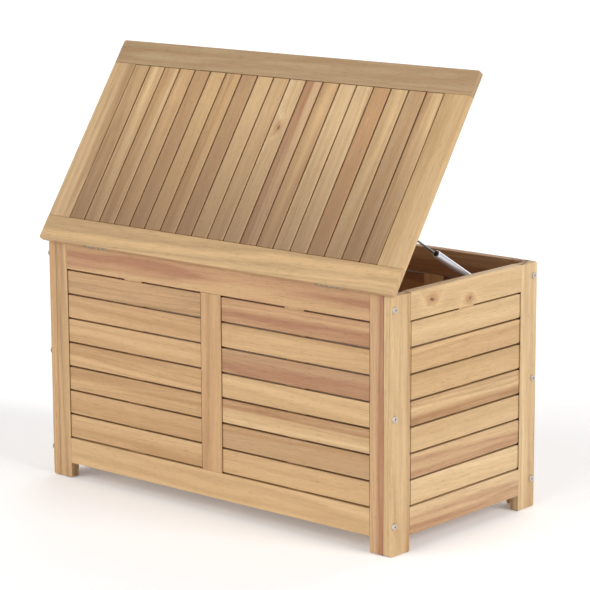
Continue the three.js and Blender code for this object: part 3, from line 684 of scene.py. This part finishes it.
# ---------------------------------------------------------------------------------------------
# Lid. A frame 14 mm thick, its two rails running the whole length, round nineteen slats with a
# shadow gap between them. Built shut and then turned open about the hinge axis.
hinge = next(joint for joint in frame["joints"] if joint["name"] == "lid_hinge")
HINGE_AXIS = Vector(hinge["pos_m"])
OPEN_ANGLE = math.radians(-hinge["range_deg"][0])
LID_LENGTH = 1.0
LID_DEPTH = 0.500
LID_REAR = -0.0035
LID_UNDERSIDE = 0.0005
LID_THICKNESS = 0.014
LID_STILE = 0.065
LID_GAP = 0.0038
LID_CORNER = 0.006
LID_EASE = 0.0022
LID_JOINT_EASE = 0.0008
# How much painted shade darkens the front and rear edges of the lid's rails
LID_EDGE_PAINTED_SHADE = 0.20
LID_GROOVE_OVERRUN = 0.004
LID_SLAT_EASE = 0.0011
LID_SLAT_END_EASE = 0.0005
LID_SLAT_SHADOW = 0.0014
LID_TONGUE_SHOULDER = 0.0019
LID_TONGUE_DROP = 0.0015
LID_TONGUE_LENGTH = 0.0090
LID_BATTEN_THICKNESS = 0.0099
LID_TONGUE = (0.0050, 0.0100)
LID_SLAT_TOP = 0.0140
LID_SLAT_BOTTOM = 0.0040
# Room for the hinges in the lid's rear rail: a bed for the leaf, and a deeper notch for the barrel
HINGE_X = 0.331
HINGE_NOTCH_HALF = 0.0356
LEAF_BED = (0.0203, 0.0020)
BARREL_NOTCH = (0.0040, 0.0085)
NOTCH_START = -0.010
opening = Matrix.Translation(HINGE_AXIS) @ Matrix.Rotation(OPEN_ANGLE, 4, "X")
lid_front = LID_REAR + LID_DEPTH
lid_top = LID_UNDERSIDE + LID_THICKNESS
panel = (LID_REAR + RAIL_HEIGHT, lid_front - RAIL_HEIGHT)

LID_RAIL_LOOKS = {"rear": ("honey", "ash", 0.6), "front": ("ash", "umber", 1.0)}
lid_half = LID_LENGTH / 2
for name, outer, inner in (("rear", LID_REAR, panel[0]), ("front", lid_front, panel[1])):
    piece = start_block(f"lid_{name}_rail_board", (-lid_half, min(outer, inner), LID_UNDERSIDE),
                        (lid_half, max(outer, inner), lid_top))
    round_edges(piece, lambda at, way: abs(way.z) > 0.9 and abs(at.y - outer) < 1e-5, LID_CORNER, 6)
    round_edges(piece, lambda at, way: abs(way.z) < 0.1 and abs(at.y - inner) > 1e-4, LID_EASE, 3)
    round_edges(piece, lambda at, way: abs(way.x) > 0.9 and abs(at.y - inner) < 1e-5, LID_JOINT_EASE, 2)
    groove_half = lid_half - LID_STILE + LID_GROOVE_OVERRUN
    cut(piece, start_block("groove", (-groove_half, inner - GROOVE_DEPTH, LID_TONGUE[0] - JOINT),
                           (groove_half, inner + GROOVE_DEPTH, LID_TONGUE[1] + JOINT)))
    if name == "rear":
        for x in (-HINGE_X, HINGE_X):
            for reach in (LEAF_BED, BARREL_NOTCH):
                cut(piece, start_block("notch", (x - HINGE_NOTCH_HALF, LID_REAR + NOTCH_START, NOTCH_START),
                                       (x + HINGE_NOTCH_HALF, *reach)))
    tone_name, vein_name, amount = LID_RAIL_LOOKS[name]
    season(piece, X, Z, tone_name, vein_name, amount=amount, painted_shade=LID_EDGE_PAINTED_SHADE)
    # The width layer turns open with the lid, so that the painted shade stays on the rails' front and rear
    # edges
    piece.data.transform(opening)
    paint_layer(piece.data, "width", "FLOAT_VECTOR", "vector",
                [opening.to_3x3() @ Vector((0, 1, 0))] * len(piece.data.vertices))
    finish_board(piece, "lid", "lid_frame_wood", f"lid_{name}_rail")

LID_STILE_LOOKS = {"left": ("straw", "umber", (0.012, 1)), "right": ("straw", "straw", (-0.006, -1))}
for name, sign in (("left", -1), ("right", 1)):
    x_range = sorted((sign * lid_half, sign * (lid_half - LID_STILE)))
    piece = board(f"lid_{name}_stile_board", (x_range[0], panel[0] + JOINT, LID_UNDERSIDE),
                  (x_range[1], panel[1] - JOINT, lid_top), Y, ease=LID_EASE)
    season(piece, Y, Z, *LID_STILE_LOOKS[name])
    piece.data.transform(opening)
    finish_board(piece, "lid", "lid_frame_wood", f"lid_{name}_stile")

# From left to right
LID_TONES = [
    ("honey", "umber", None, None), ("straw", "honey", None, None),
    ("cream", "honey", (0.006, -1), None), ("wheat", "tan", None, None), ("umber", "wheat", None, None),
    ("honey", "straw", None, None), ("honey", "wheat", (0.004, -1), None), ("umber", "tan", None, None),
    ("straw", "cream", None, None), ("straw", "tan", None, None),
    ("cream", "wheat", None, [(0.077, 0.0, 0.0080)]), ("cream", "rose", (-0.006, -1), None),
    ("honey", "tan", (0.0, -1), None), ("cream", "honey", None, None), ("cream", "honey", None, None),
    ("rose", "honey", None, None), ("straw", "straw", None, None), ("umber", "wheat", None, None),
    ("straw", "tan", None, None),
]
lid_pitch = (LID_LENGTH - 2 * LID_STILE) / len(LID_TONES)
slat_ends = (panel[0] + LID_SLAT_SHADOW, panel[1] - LID_SLAT_SHADOW)


def is_lid_slat_end(at, way):
    return abs(way.y) > 0.99 and min(abs(at.y - end) for end in slat_ends) < 1e-5


for column, look in enumerate(LID_TONES):
    x = (column - (len(LID_TONES) - 1) / 2) * lid_pitch
    width = lid_pitch - LID_GAP
    piece = board(f"lid_slat_{column + 1}", (x - width / 2, slat_ends[0], LID_SLAT_BOTTOM),
                  (x + width / 2, slat_ends[1], LID_SLAT_TOP), Y,
                  ease=LID_SLAT_EASE, end_ease=LID_SLAT_END_EASE)
    shape(piece, "FACE", is_lid_slat_end, bpy.ops.mesh.inset, thickness=LID_TONGUE_SHOULDER, depth=0)
    bpy.ops.object.mode_set(mode="EDIT")
    bpy.ops.transform.translate(value=(0, 0, -LID_TONGUE_DROP))
    bpy.ops.mesh.inset(thickness=0, depth=LID_TONGUE_LENGTH)
    bpy.ops.object.mode_set(mode="OBJECT")
    season(piece, Y, Z, *look, painted_shade=GAP_PAINTED_SHADE)
    piece.data.transform(opening)
    finish_board(piece, "lid", "slat_wood", "lid_slats")
batten_half = lid_half - LID_STILE - LID_GAP
batten_top = LID_SLAT_BOTTOM - 0.0001
lid_middle = LID_REAR + LID_DEPTH / 2
batten = board("lid_batten", (-batten_half, lid_middle - BATTEN_HALF, batten_top - LID_BATTEN_THICKNESS),
               (batten_half, lid_middle + BATTEN_HALF, batten_top), X, end_ease=BATTEN_END_EASE)
season(batten, X, Z, "wheat", "tan")
batten.data.transform(opening)
finish_board(batten, "lid", "slat_wood", "lid_slats")


# ---------------------------------------------------------------------------------------------
# Hinges. Two steel butt hinges, 70 mm long with leaves 1.5 mm thick, zinc plated and passivated. One leaf
# lies on the top rail and one is let into the underside of the lid, each held by three countersunk screws.
HINGE_HALF = 0.035
KNUCKLE_RADIUS = 0.0034
KNUCKLES = 5
KNUCKLE_GAP = 0.0016
PIN_RADIUS = 0.0015
PIN_PLAY = 0.0002
LEAF_CORNER = 0.003
LEAF_EASE = 0.0002
RIM_EASE = 0.0004
LEAF_SCREWS = (-0.026, 0.0, 0.026)
LEAF_SCREW_Y = 0.0135
LEAF_HOLE_RADIUS = 0.0016
LEAF_HOLE_FLARE = 2.4
LEAF_HEAD_RADIUS = 0.0014
LEAF_HEAD_FLARE = 2.15
leaf_low, leaf_high = 0.0002, 0.0017
leaf_start, leaf_end = 0.0035, 0.020


def new_finish(name, pattern, colours, roughness, bump=None, **surface):
    """A worked finish. Its colour and roughness wander between pairs of values with one noise, given as
    (scale, detail, roughness), or are the same all over if only one is given. Bump is (scale, strength)."""
    material, tree, output = new_material(name)
    place = add_node(tree, "TexCoord").outputs["Object"]
    cloud = add_node(tree, "TexNoise", dict(zip(("Scale", "Detail", "Roughness"), pattern)), Vector=place)
    cloud = cloud.outputs["Fac"]
    links = {}
    if len(colours) == 2:
        pale, dark = map(to_linear, colours)
        tint = add_node(tree, "Mix", {"data_type": "RGBA", 6: pale, 7: dark}, i0=cloud)
        links["Base_Color"] = tint.outputs[2]
    else:
        surface["Base Color"] = to_linear(colours[0])
    if len(roughness) == 2:
        limits = {"From Min": 0.3, "From Max": 0.7, "To Min": roughness[0], "To Max": roughness[1]}
        links["Roughness"] = add_node(tree, "MapRange", limits, Value=cloud).outputs[0]
    else:
        surface["Roughness"] = roughness[0]
    if bump:
        relief = add_node(tree, "TexNoise", {"Scale": bump[0], "Detail": 2.0}, Vector=place).outputs["Fac"]
        bumps = add_node(tree, "Bump", {"Strength": bump[1], "Distance": 0.0001}, Height=relief)
        links["Normal"] = bumps.outputs["Normal"]
    shader = add_node(tree, "BsdfPrincipled", surface, **links)
    tree.links.new(shader.outputs["BSDF"], output.inputs["Surface"])
    return material


# Yellow passivation over zinc plate, rubbed dull: a brownish grey, faintly gold, in patches 4 mm wide
passivated = new_finish("Yellow passivated zinc on pressed steel", (220.0, 4.0, 0.6), ("#C9BFA6", "#5B5445"),
                        (0.34, 0.55), Metallic=0.85)


def start_bar(name, radius, low, high, axis=0, sides=32):
    """A round bar along an axis, between two places on it, its place in its mesh."""
    bpy.ops.object.select_all(action="DESELECT")
    middle = Vector([(low + high) / 2 if i == axis else 0.0 for i in range(3)])
    turn = ((0, math.pi / 2, 0), (math.pi / 2, 0, 0), (0, 0, 0))[axis]
    bpy.ops.mesh.primitive_cylinder_add(radius=radius, depth=high - low, vertices=sides, location=middle,
                                        rotation=turn)
    piece = bpy.context.object
    piece.name = piece.data.name = name
    bpy.ops.object.transform_apply(location=True, rotation=True, scale=True)
    return piece


def ease_rims(piece, axis, offset, segments=3):
    """Rounds every rim at the two ends of a bar."""
    places = [v.co[axis] for v in piece.data.vertices]
    low, high = min(places), max(places)
    round_edges(piece, lambda at, way: min(abs(at[axis] - low), abs(at[axis] - high)) < 1e-6,
                offset, segments)


def weld(piece, *others):
    """Joins pieces into one closed body, and puts the others away."""
    for other in others:
        union = piece.modifiers.new("weld", "BOOLEAN")
        union.operation = "UNION"
        union.solver = "EXACT"
        union.object = other
        bpy.ops.object.select_all(action="DESELECT")
        bpy.context.view_layer.objects.active = piece
        bpy.ops.object.modifier_apply(modifier=union.name)
        bpy.data.objects.remove(other)


def shift(piece, move=(0, 0, 0), turn=None):
    """Moves or turns a piece inside its mesh, and hands it back."""
    piece.data.transform(Matrix.Translation(move) @ (turn or Matrix.Identity(4)))
    return piece


def finish_metal(piece, material, body, slot, *nodes):
    """Gives a metal piece its finish and hangs it on its body in place of its CAD nodes."""
    smooth(piece)
    piece.data.materials.clear()
    piece.data.materials.append(material)
    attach(piece, body)
    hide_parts(*nodes)


def hinge_leaf(name, side, knuckles):
    """One leaf with its knuckles, at the hinge axis. Side is 1 for the lid's leaf and -1 for the box's."""
    low, high = sorted((side * leaf_low, side * leaf_high))
    leaf = start_block(name, (-HINGE_HALF, leaf_start, low), (HINGE_HALF, leaf_end, high))
    round_edges(leaf, lambda at, way: abs(way.z) > 0.9 and at.y > leaf_end - 1e-4, LEAF_CORNER, 5)
    round_edges(leaf, lambda at, way: abs(way.z) < 0.1 and at.y > leaf_start + 1e-4, LEAF_EASE, 1)
    for start, end in knuckles:
        tab = start_block("tab", (start, 0, low), (end, leaf_start + 0.001, high))
        barrel = start_bar("barrel", KNUCKLE_RADIUS, start, end)
        ease_rims(barrel, X, RIM_EASE, 2)
        weld(leaf, tab, barrel)
    cut(leaf, start_bar("bore", PIN_RADIUS + PIN_PLAY, -HINGE_HALF - 0.001, HINGE_HALF + 0.001))
    for x in LEAF_SCREWS:
        sink = start_bar("sink", LEAF_HOLE_RADIUS, low - 0.001, high + 0.001, axis=2, sides=24)
        shape(sink, "FACE", lambda at, way: way.z * side < -0.9,
              bpy.ops.transform.resize, value=(LEAF_HOLE_FLARE, LEAF_HOLE_FLARE, 1))
        cut(leaf, shift(sink, (x, LEAF_SCREW_Y, 0)))
    return leaf


def cross_recess(head, bottom, top):
    """Sinks the two crossed slots of a driver into a screw's head, between two heights."""
    for x, y in ((0.0018, 0.0003), (0.0003, 0.0018)):
        cut(head, start_block("recess", (-x, -y, bottom), (x, y, top)))


def leaf_screw(name, side):
    """A countersunk screw in a leaf, with a cross recess, its head on the leaf's open side."""
    low, high = sorted((side * leaf_low, side * leaf_high))
    head = start_bar(name, LEAF_HEAD_RADIUS, low + 0.00005, high - 0.00005, axis=2, sides=24)
    shape(head, "FACE", lambda at, way: way.z * side < -0.9,
          bpy.ops.transform.resize, value=(LEAF_HEAD_FLARE, LEAF_HEAD_FLARE, 1))
    shape(head, "FACE", lambda at, way: way.z * side > 0.9, bpy.ops.mesh.inset, thickness=0.0003, depth=0)
    open_side = low if side > 0 else high
    cross_recess(head, open_side - 0.0005, open_side + 0.0005)
    return head


knuckle_step = (2 * HINGE_HALF + KNUCKLE_GAP) / KNUCKLES
knuckle_starts = [-HINGE_HALF + number * knuckle_step for number in range(KNUCKLES)]
knuckles = [(start, start + knuckle_step - KNUCKLE_GAP) for start in knuckle_starts]
leaves = {
    "box_leaf": (hinge_leaf("box_leaf", -1, knuckles[0::2]), leaf_screw("box_screw", -1), "box", -1),
    "lid_leaf": (hinge_leaf("lid_leaf", 1, knuckles[1::2]), leaf_screw("lid_screw", 1), "lid", 1),
}
for kind, (leaf, screw, body, side) in leaves.items():
    to_axis = opening if side > 0 else Matrix.Translation(HINGE_AXIS)
    for hinge_name, x in (("left", -HINGE_X), ("right", HINGE_X)):
        node = f"{hinge_name}_hinge_{kind}"
        piece = copy_of(leaf, f"{node}_plate", to_axis @ Matrix.Translation((x, 0, 0)))
        finish_metal(piece, passivated, body, "hinge_steel", node)
        for number, screw_x in enumerate(LEAF_SCREWS):
            piece = copy_of(screw, f"{node}_screw_{number + 1}",
                            to_axis @ Matrix.Translation((x + screw_x, LEAF_SCREW_Y, 0)))
            finish_metal(piece, passivated, body, "hinge_steel", node)
    bpy.data.objects.remove(leaf)
    bpy.data.objects.remove(screw)

pin = start_bar("pin", PIN_RADIUS, -HINGE_HALF, HINGE_HALF, sides=24)
ease_rims(pin, X, RIM_EASE, 2)
for hinge_name, x in (("left", -HINGE_X), ("right", HINGE_X)):
    node = f"{hinge_name}_hinge_pin"
    piece = copy_of(pin, f"{node}_rod", Matrix.Translation(HINGE_AXIS + Vector((x, 0, 0))))
    finish_metal(piece, passivated, "box", "hinge_steel", node)
bpy.data.objects.remove(pin)


# ---------------------------------------------------------------------------------------------
# Gas struts. A painted steel tube with a rolled collar and a rubber wiper, a chromed rod, and a moulded
# socket at each end that turns on a stud. The studs are riveted to pressed brackets.
STRUT_X = 0.4435
WALL_STUD = HINGE_AXIS + Vector((0, 0.3635, -0.0455))
LID_STUD = (0.1435, -0.0135)
TUBE_RADIUS = 0.0080
TUBE_CLEARANCE = 0.024
TUBE_BOTTOM = 0.008
COLLAR_ROLL = 0.0016
COLLAR_RIM = 0.0007
WIPER_INSET = 0.0026
WIPER_DEPTH = 0.004
WIPER_HEIGHT = 0.0014
ROD_RADIUS = 0.0022
ROD_HIDDEN = 0.020
SOCKET_RADIUS = 0.007
SOCKET_HALF = 0.006
NECK_RADIUS = 0.004
NECK_LENGTH = 0.012
STUD_RADIUS = 0.003
PLAY = 0.0003
# Pressed brackets, measured from the stud: a plate on the wall, and a plate with an ear under the lid
PLATE_HALF = 0.014
WALL_PLATE_HALF_HEIGHT = 0.012
WALL_PLATE_X = (0.0197, 0.0217)
LID_PLATE_X = (-0.006, 0.014)
LID_PLATE_Z = (0.0117, 0.0137)
EAR_X = 0.012
EAR_HALF = 0.007
EAR_CORNER = 0.005
PLATE_CORNER = 0.004
SHOULDER_RADIUS = 0.0050
SHOULDER_X = (0.0162, 0.0201)
BRACKET_SCREW_RADIUS = 0.0030
BRACKET_SCREW_HEIGHT = 0.0012
BRACKET_SCREW_TAPER = 0.55
lid_stud = opening @ Vector((0, *LID_STUD))
strut_open = (lid_stud - WALL_STUD).length
strut_shut = (HINGE_AXIS + Vector((0, *LID_STUD)) - WALL_STUD).length
tube_top = strut_shut - SOCKET_RADIUS - TUBE_CLEARANCE

# Silver-grey stove enamel on the tube: pale and cool, with a soft sheen and a fine orange peel
enamel = new_finish("Silver stove enamel on steel tube", (700.0, 2.0, 0.5), ("#D8D9E0", "#C9CAD2"), (0.30,),
                    bump=(700.0, 0.10), Metallic=0.65)
# Hard chrome on the ground rod: a dark mirror that shows the pale surround down one side
chrome = new_finish("Hard chrome on ground steel", (1200.0, 2.0, 0.5), ("#74757A",), (0.10, 0.20),
                    Metallic=1.0)
# Glass-filled nylon, and the wiper's rubber: black, with a dull grained skin
nylon = new_finish("Black moulded nylon", (1500.0, 2.0, 0.5), ("#26262A", "#1B1B1E"), (0.55,),
                   bump=(1500.0, 0.25))
# Bright zinc plate on the brackets and screws: a warm pale grey with a faint cloudy bloom and fine scuffs
zinc = new_finish("Zinc plated pressed steel", (160.0, 4.0, 0.6), ("#D8D0C6", "#ABA296"), (0.32, 0.52),
                  bump=(900.0, 0.15), Metallic=0.85)


def strut_socket(name, neck_way):
    """The moulded end of a strut: a rounded eye across the strut, and its neck. Its bore is open on +X."""
    eye = start_bar(name, SOCKET_RADIUS, -SOCKET_HALF, SOCKET_HALF)
    ease_rims(eye, X, 0.0015, 3)
    neck = start_bar("neck", NECK_RADIUS, 0.003, NECK_LENGTH, axis=2)
    ease_rims(neck, Z, RIM_EASE, 2)
    weld(eye, shift(neck, turn=Matrix.Rotation(0 if neck_way > 0 else math.pi, 4, "X")))
    cut(eye, start_bar("bore", STUD_RADIUS + PLAY, -SOCKET_HALF / 2, 0.02))
    return eye


tube = start_bar("tube", TUBE_RADIUS, NECK_LENGTH, tube_top, axis=2, sides=48)
ease_rims(tube, Z, COLLAR_ROLL, 4)
shape(tube, "FACE", lambda at, way: way.z > 0.99, bpy.ops.mesh.inset, thickness=COLLAR_RIM, depth=0)
bpy.ops.object.mode_set(mode="EDIT")
hollow = tube_top - NECK_LENGTH - TUBE_BOTTOM
bpy.ops.mesh.extrude_region_move(TRANSFORM_OT_translate={"value": (0, 0, -hollow)})
bpy.ops.object.mode_set(mode="OBJECT")
wiper = start_bar("wiper", TUBE_RADIUS - WIPER_INSET, tube_top - WIPER_DEPTH, tube_top + WIPER_HEIGHT,
                  axis=2, sides=48)
ease_rims(wiper, Z, 0.0006, 3)
cut(wiper, start_bar("bore", ROD_RADIUS + PLAY, tube_top - 0.01, tube_top + 0.01, axis=2, sides=48))
rod = start_bar("rod", ROD_RADIUS, tube_top - ROD_HIDDEN, strut_open - NECK_LENGTH + 0.0005, axis=2, sides=40)
ease_rims(rod, Z, 0.0005, 2)
lower_end, upper_end = strut_socket("lower_end", 1), strut_socket("upper_end", -1)
# Model, finish, the half of the strut it belongs to, and how far up the strut it sits
parts = {
    "tube": (tube, enamel, "cylinder", 0), "wiper": (wiper, nylon, "cylinder", 0),
    "lower_socket": (lower_end, nylon, "cylinder", 0), "rod_bar": (rod, chrome, "rod", 0),
    "upper_socket": (upper_end, nylon, "rod", strut_open),
}

wall_plate = start_block("wall_plate", (WALL_PLATE_X[0], -PLATE_HALF, -WALL_PLATE_HALF_HEIGHT),
                         (WALL_PLATE_X[1], PLATE_HALF, WALL_PLATE_HALF_HEIGHT))
round_edges(wall_plate, lambda at, way: abs(way.x) > 0.9, PLATE_CORNER, 5)
round_edges(wall_plate, lambda at, way: abs(way.x) < 0.1 and at.x < WALL_PLATE_X[0] + 0.0001, RIM_EASE, 2)
wall_stud = start_bar("stud", STUD_RADIUS, PLAY - SOCKET_HALF / 2, 0.0203)
shoulder = start_bar("shoulder", SHOULDER_RADIUS, *SHOULDER_X)
ease_rims(shoulder, X, 0.0005, 2)
weld(wall_plate, wall_stud, shoulder)

lid_plate = start_block("lid_plate", (LID_PLATE_X[0], -PLATE_HALF, LID_PLATE_Z[0]),
                        (LID_PLATE_X[1], PLATE_HALF, LID_PLATE_Z[1]))
round_edges(lid_plate, lambda at, way: abs(way.z) > 0.9 and at.x < 0, PLATE_CORNER, 5)
ear = start_block("ear", (EAR_X, -EAR_HALF, -EAR_HALF), (LID_PLATE_X[1], EAR_HALF, LID_PLATE_Z[1]))
round_edges(ear, lambda at, way: abs(way.x) > 0.9 and at.z < 0, EAR_CORNER, 6)
ear_stud = start_bar("stud", STUD_RADIUS, SOCKET_HALF + PLAY, EAR_X + 0.0005)
ease_rims(ear_stud, X, RIM_EASE, 2)
weld(lid_plate, ear, ear_stud)

bracket_screw = start_bar("bracket_screw", BRACKET_SCREW_RADIUS, 0.0, BRACKET_SCREW_HEIGHT, axis=2, sides=24)
shape(bracket_screw, "FACE", lambda at, way: way.z < -0.9,
      bpy.ops.transform.resize, value=(BRACKET_SCREW_TAPER, BRACKET_SCREW_TAPER, 1))
cross_recess(bracket_screw, -0.0005, 0.0006)
# The screw heads stand on the plates' open faces
wall_screws = [Matrix.Translation((WALL_PLATE_X[0], y, z)) @ Matrix.Rotation(-math.pi / 2, 4, "Y")
               for z in (-0.008, 0.008) for y in (-0.010, 0.010)]
lid_screws = [Matrix.Translation((0.004, y, LID_PLATE_Z[0])) @ Matrix.Rotation(math.pi, 4, "X")
              for y in (-0.010, 0.010)]

along = Matrix.Rotation(math.atan2(WALL_STUD.y - lid_stud.y, lid_stud.z - WALL_STUD.z), 4, "X")
for side_name, side in (("left", -1), ("right", 1)):
    facing_out = Matrix.Identity(4) if side > 0 else Matrix.Rotation(math.pi, 4, "Z")
    at_wall = Matrix.Translation(WALL_STUD + Vector((side * STRUT_X, 0, 0)))
    at_lid = opening @ Matrix.Translation((side * STRUT_X, *LID_STUD))
    for name, (model, finish, half, height) in parts.items():
        piece = copy_of(model, f"{side_name}_strut_{name}",
                        at_wall @ along @ Matrix.Translation((0, 0, height)) @ facing_out)
        finish_metal(piece, finish, f"{side_name}_{half}", f"strut_{half}", f"{side_name}_strut_{half}")
    for kind, model, body, place, screws in (
        ("wall", wall_plate, "box", at_wall @ facing_out, wall_screws),
        ("lid", lid_plate, "lid", at_lid @ facing_out, lid_screws),
    ):
        node = f"{side_name}_strut_{kind}_bracket"
        finish_metal(copy_of(model, f"{node}_plate", place), zinc, body, "bracket_steel", node)
        for number, lay in enumerate(screws):
            piece = copy_of(bracket_screw, f"{node}_screw_{number + 1}", place @ lay)
            finish_metal(piece, zinc, body, "bracket_steel", node)
for model in (tube, wiper, rod, lower_end, upper_end, wall_plate, lid_plate, bracket_screw):
    bpy.data.objects.remove(model)


# ---------------------------------------------------------------------------------------------
# Corner bolts. Three flat-headed furniture bolts with a hex socket go through each corner post into
# the leg of the end wall. Zinc plated, gone a little dull.
BOLT_RADIUS = 0.007
BOLT_HEAD = 0.0026
BOLT_SOCKET = 0.0024
BOLT_SOCKET_DEPTH = 0.0016
BOLT_EASE = 0.0012
bolt = start_bar("bolt", BOLT_RADIUS, 0.0, BOLT_HEAD, axis=2, sides=40)
round_edges(bolt, lambda at, way: abs(way.z) < 0.1 and at.z > BOLT_HEAD - 1e-6, BOLT_EASE, 4)
cut(bolt, start_bar("socket", BOLT_SOCKET, BOLT_HEAD - BOLT_SOCKET_DEPTH, BOLT_HEAD + 0.001, axis=2, sides=6))
bolt_places = [f"{end}_screw_{level}" for end in ("rear", "front") for level in ("low", "middle", "high")]
for side, sign in (("left", -1), ("right", 1)):
    for bolt_place in bolt_places:
        node = f"{side}_end_{bolt_place}"
        low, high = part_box(node)
        seat = (low + high) / 2
        seat.x = high.x - BOLT_HEAD if sign > 0 else low.x + BOLT_HEAD
        outwards = Matrix.Rotation(sign * math.pi / 2, 4, "Y")
        piece = copy_of(bolt, f"{node}_bolt", Matrix.Translation(seat) @ outwards)
        finish_metal(piece, zinc, "box", "zinc_screws", node)
bpy.data.objects.remove(bolt)


low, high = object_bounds()
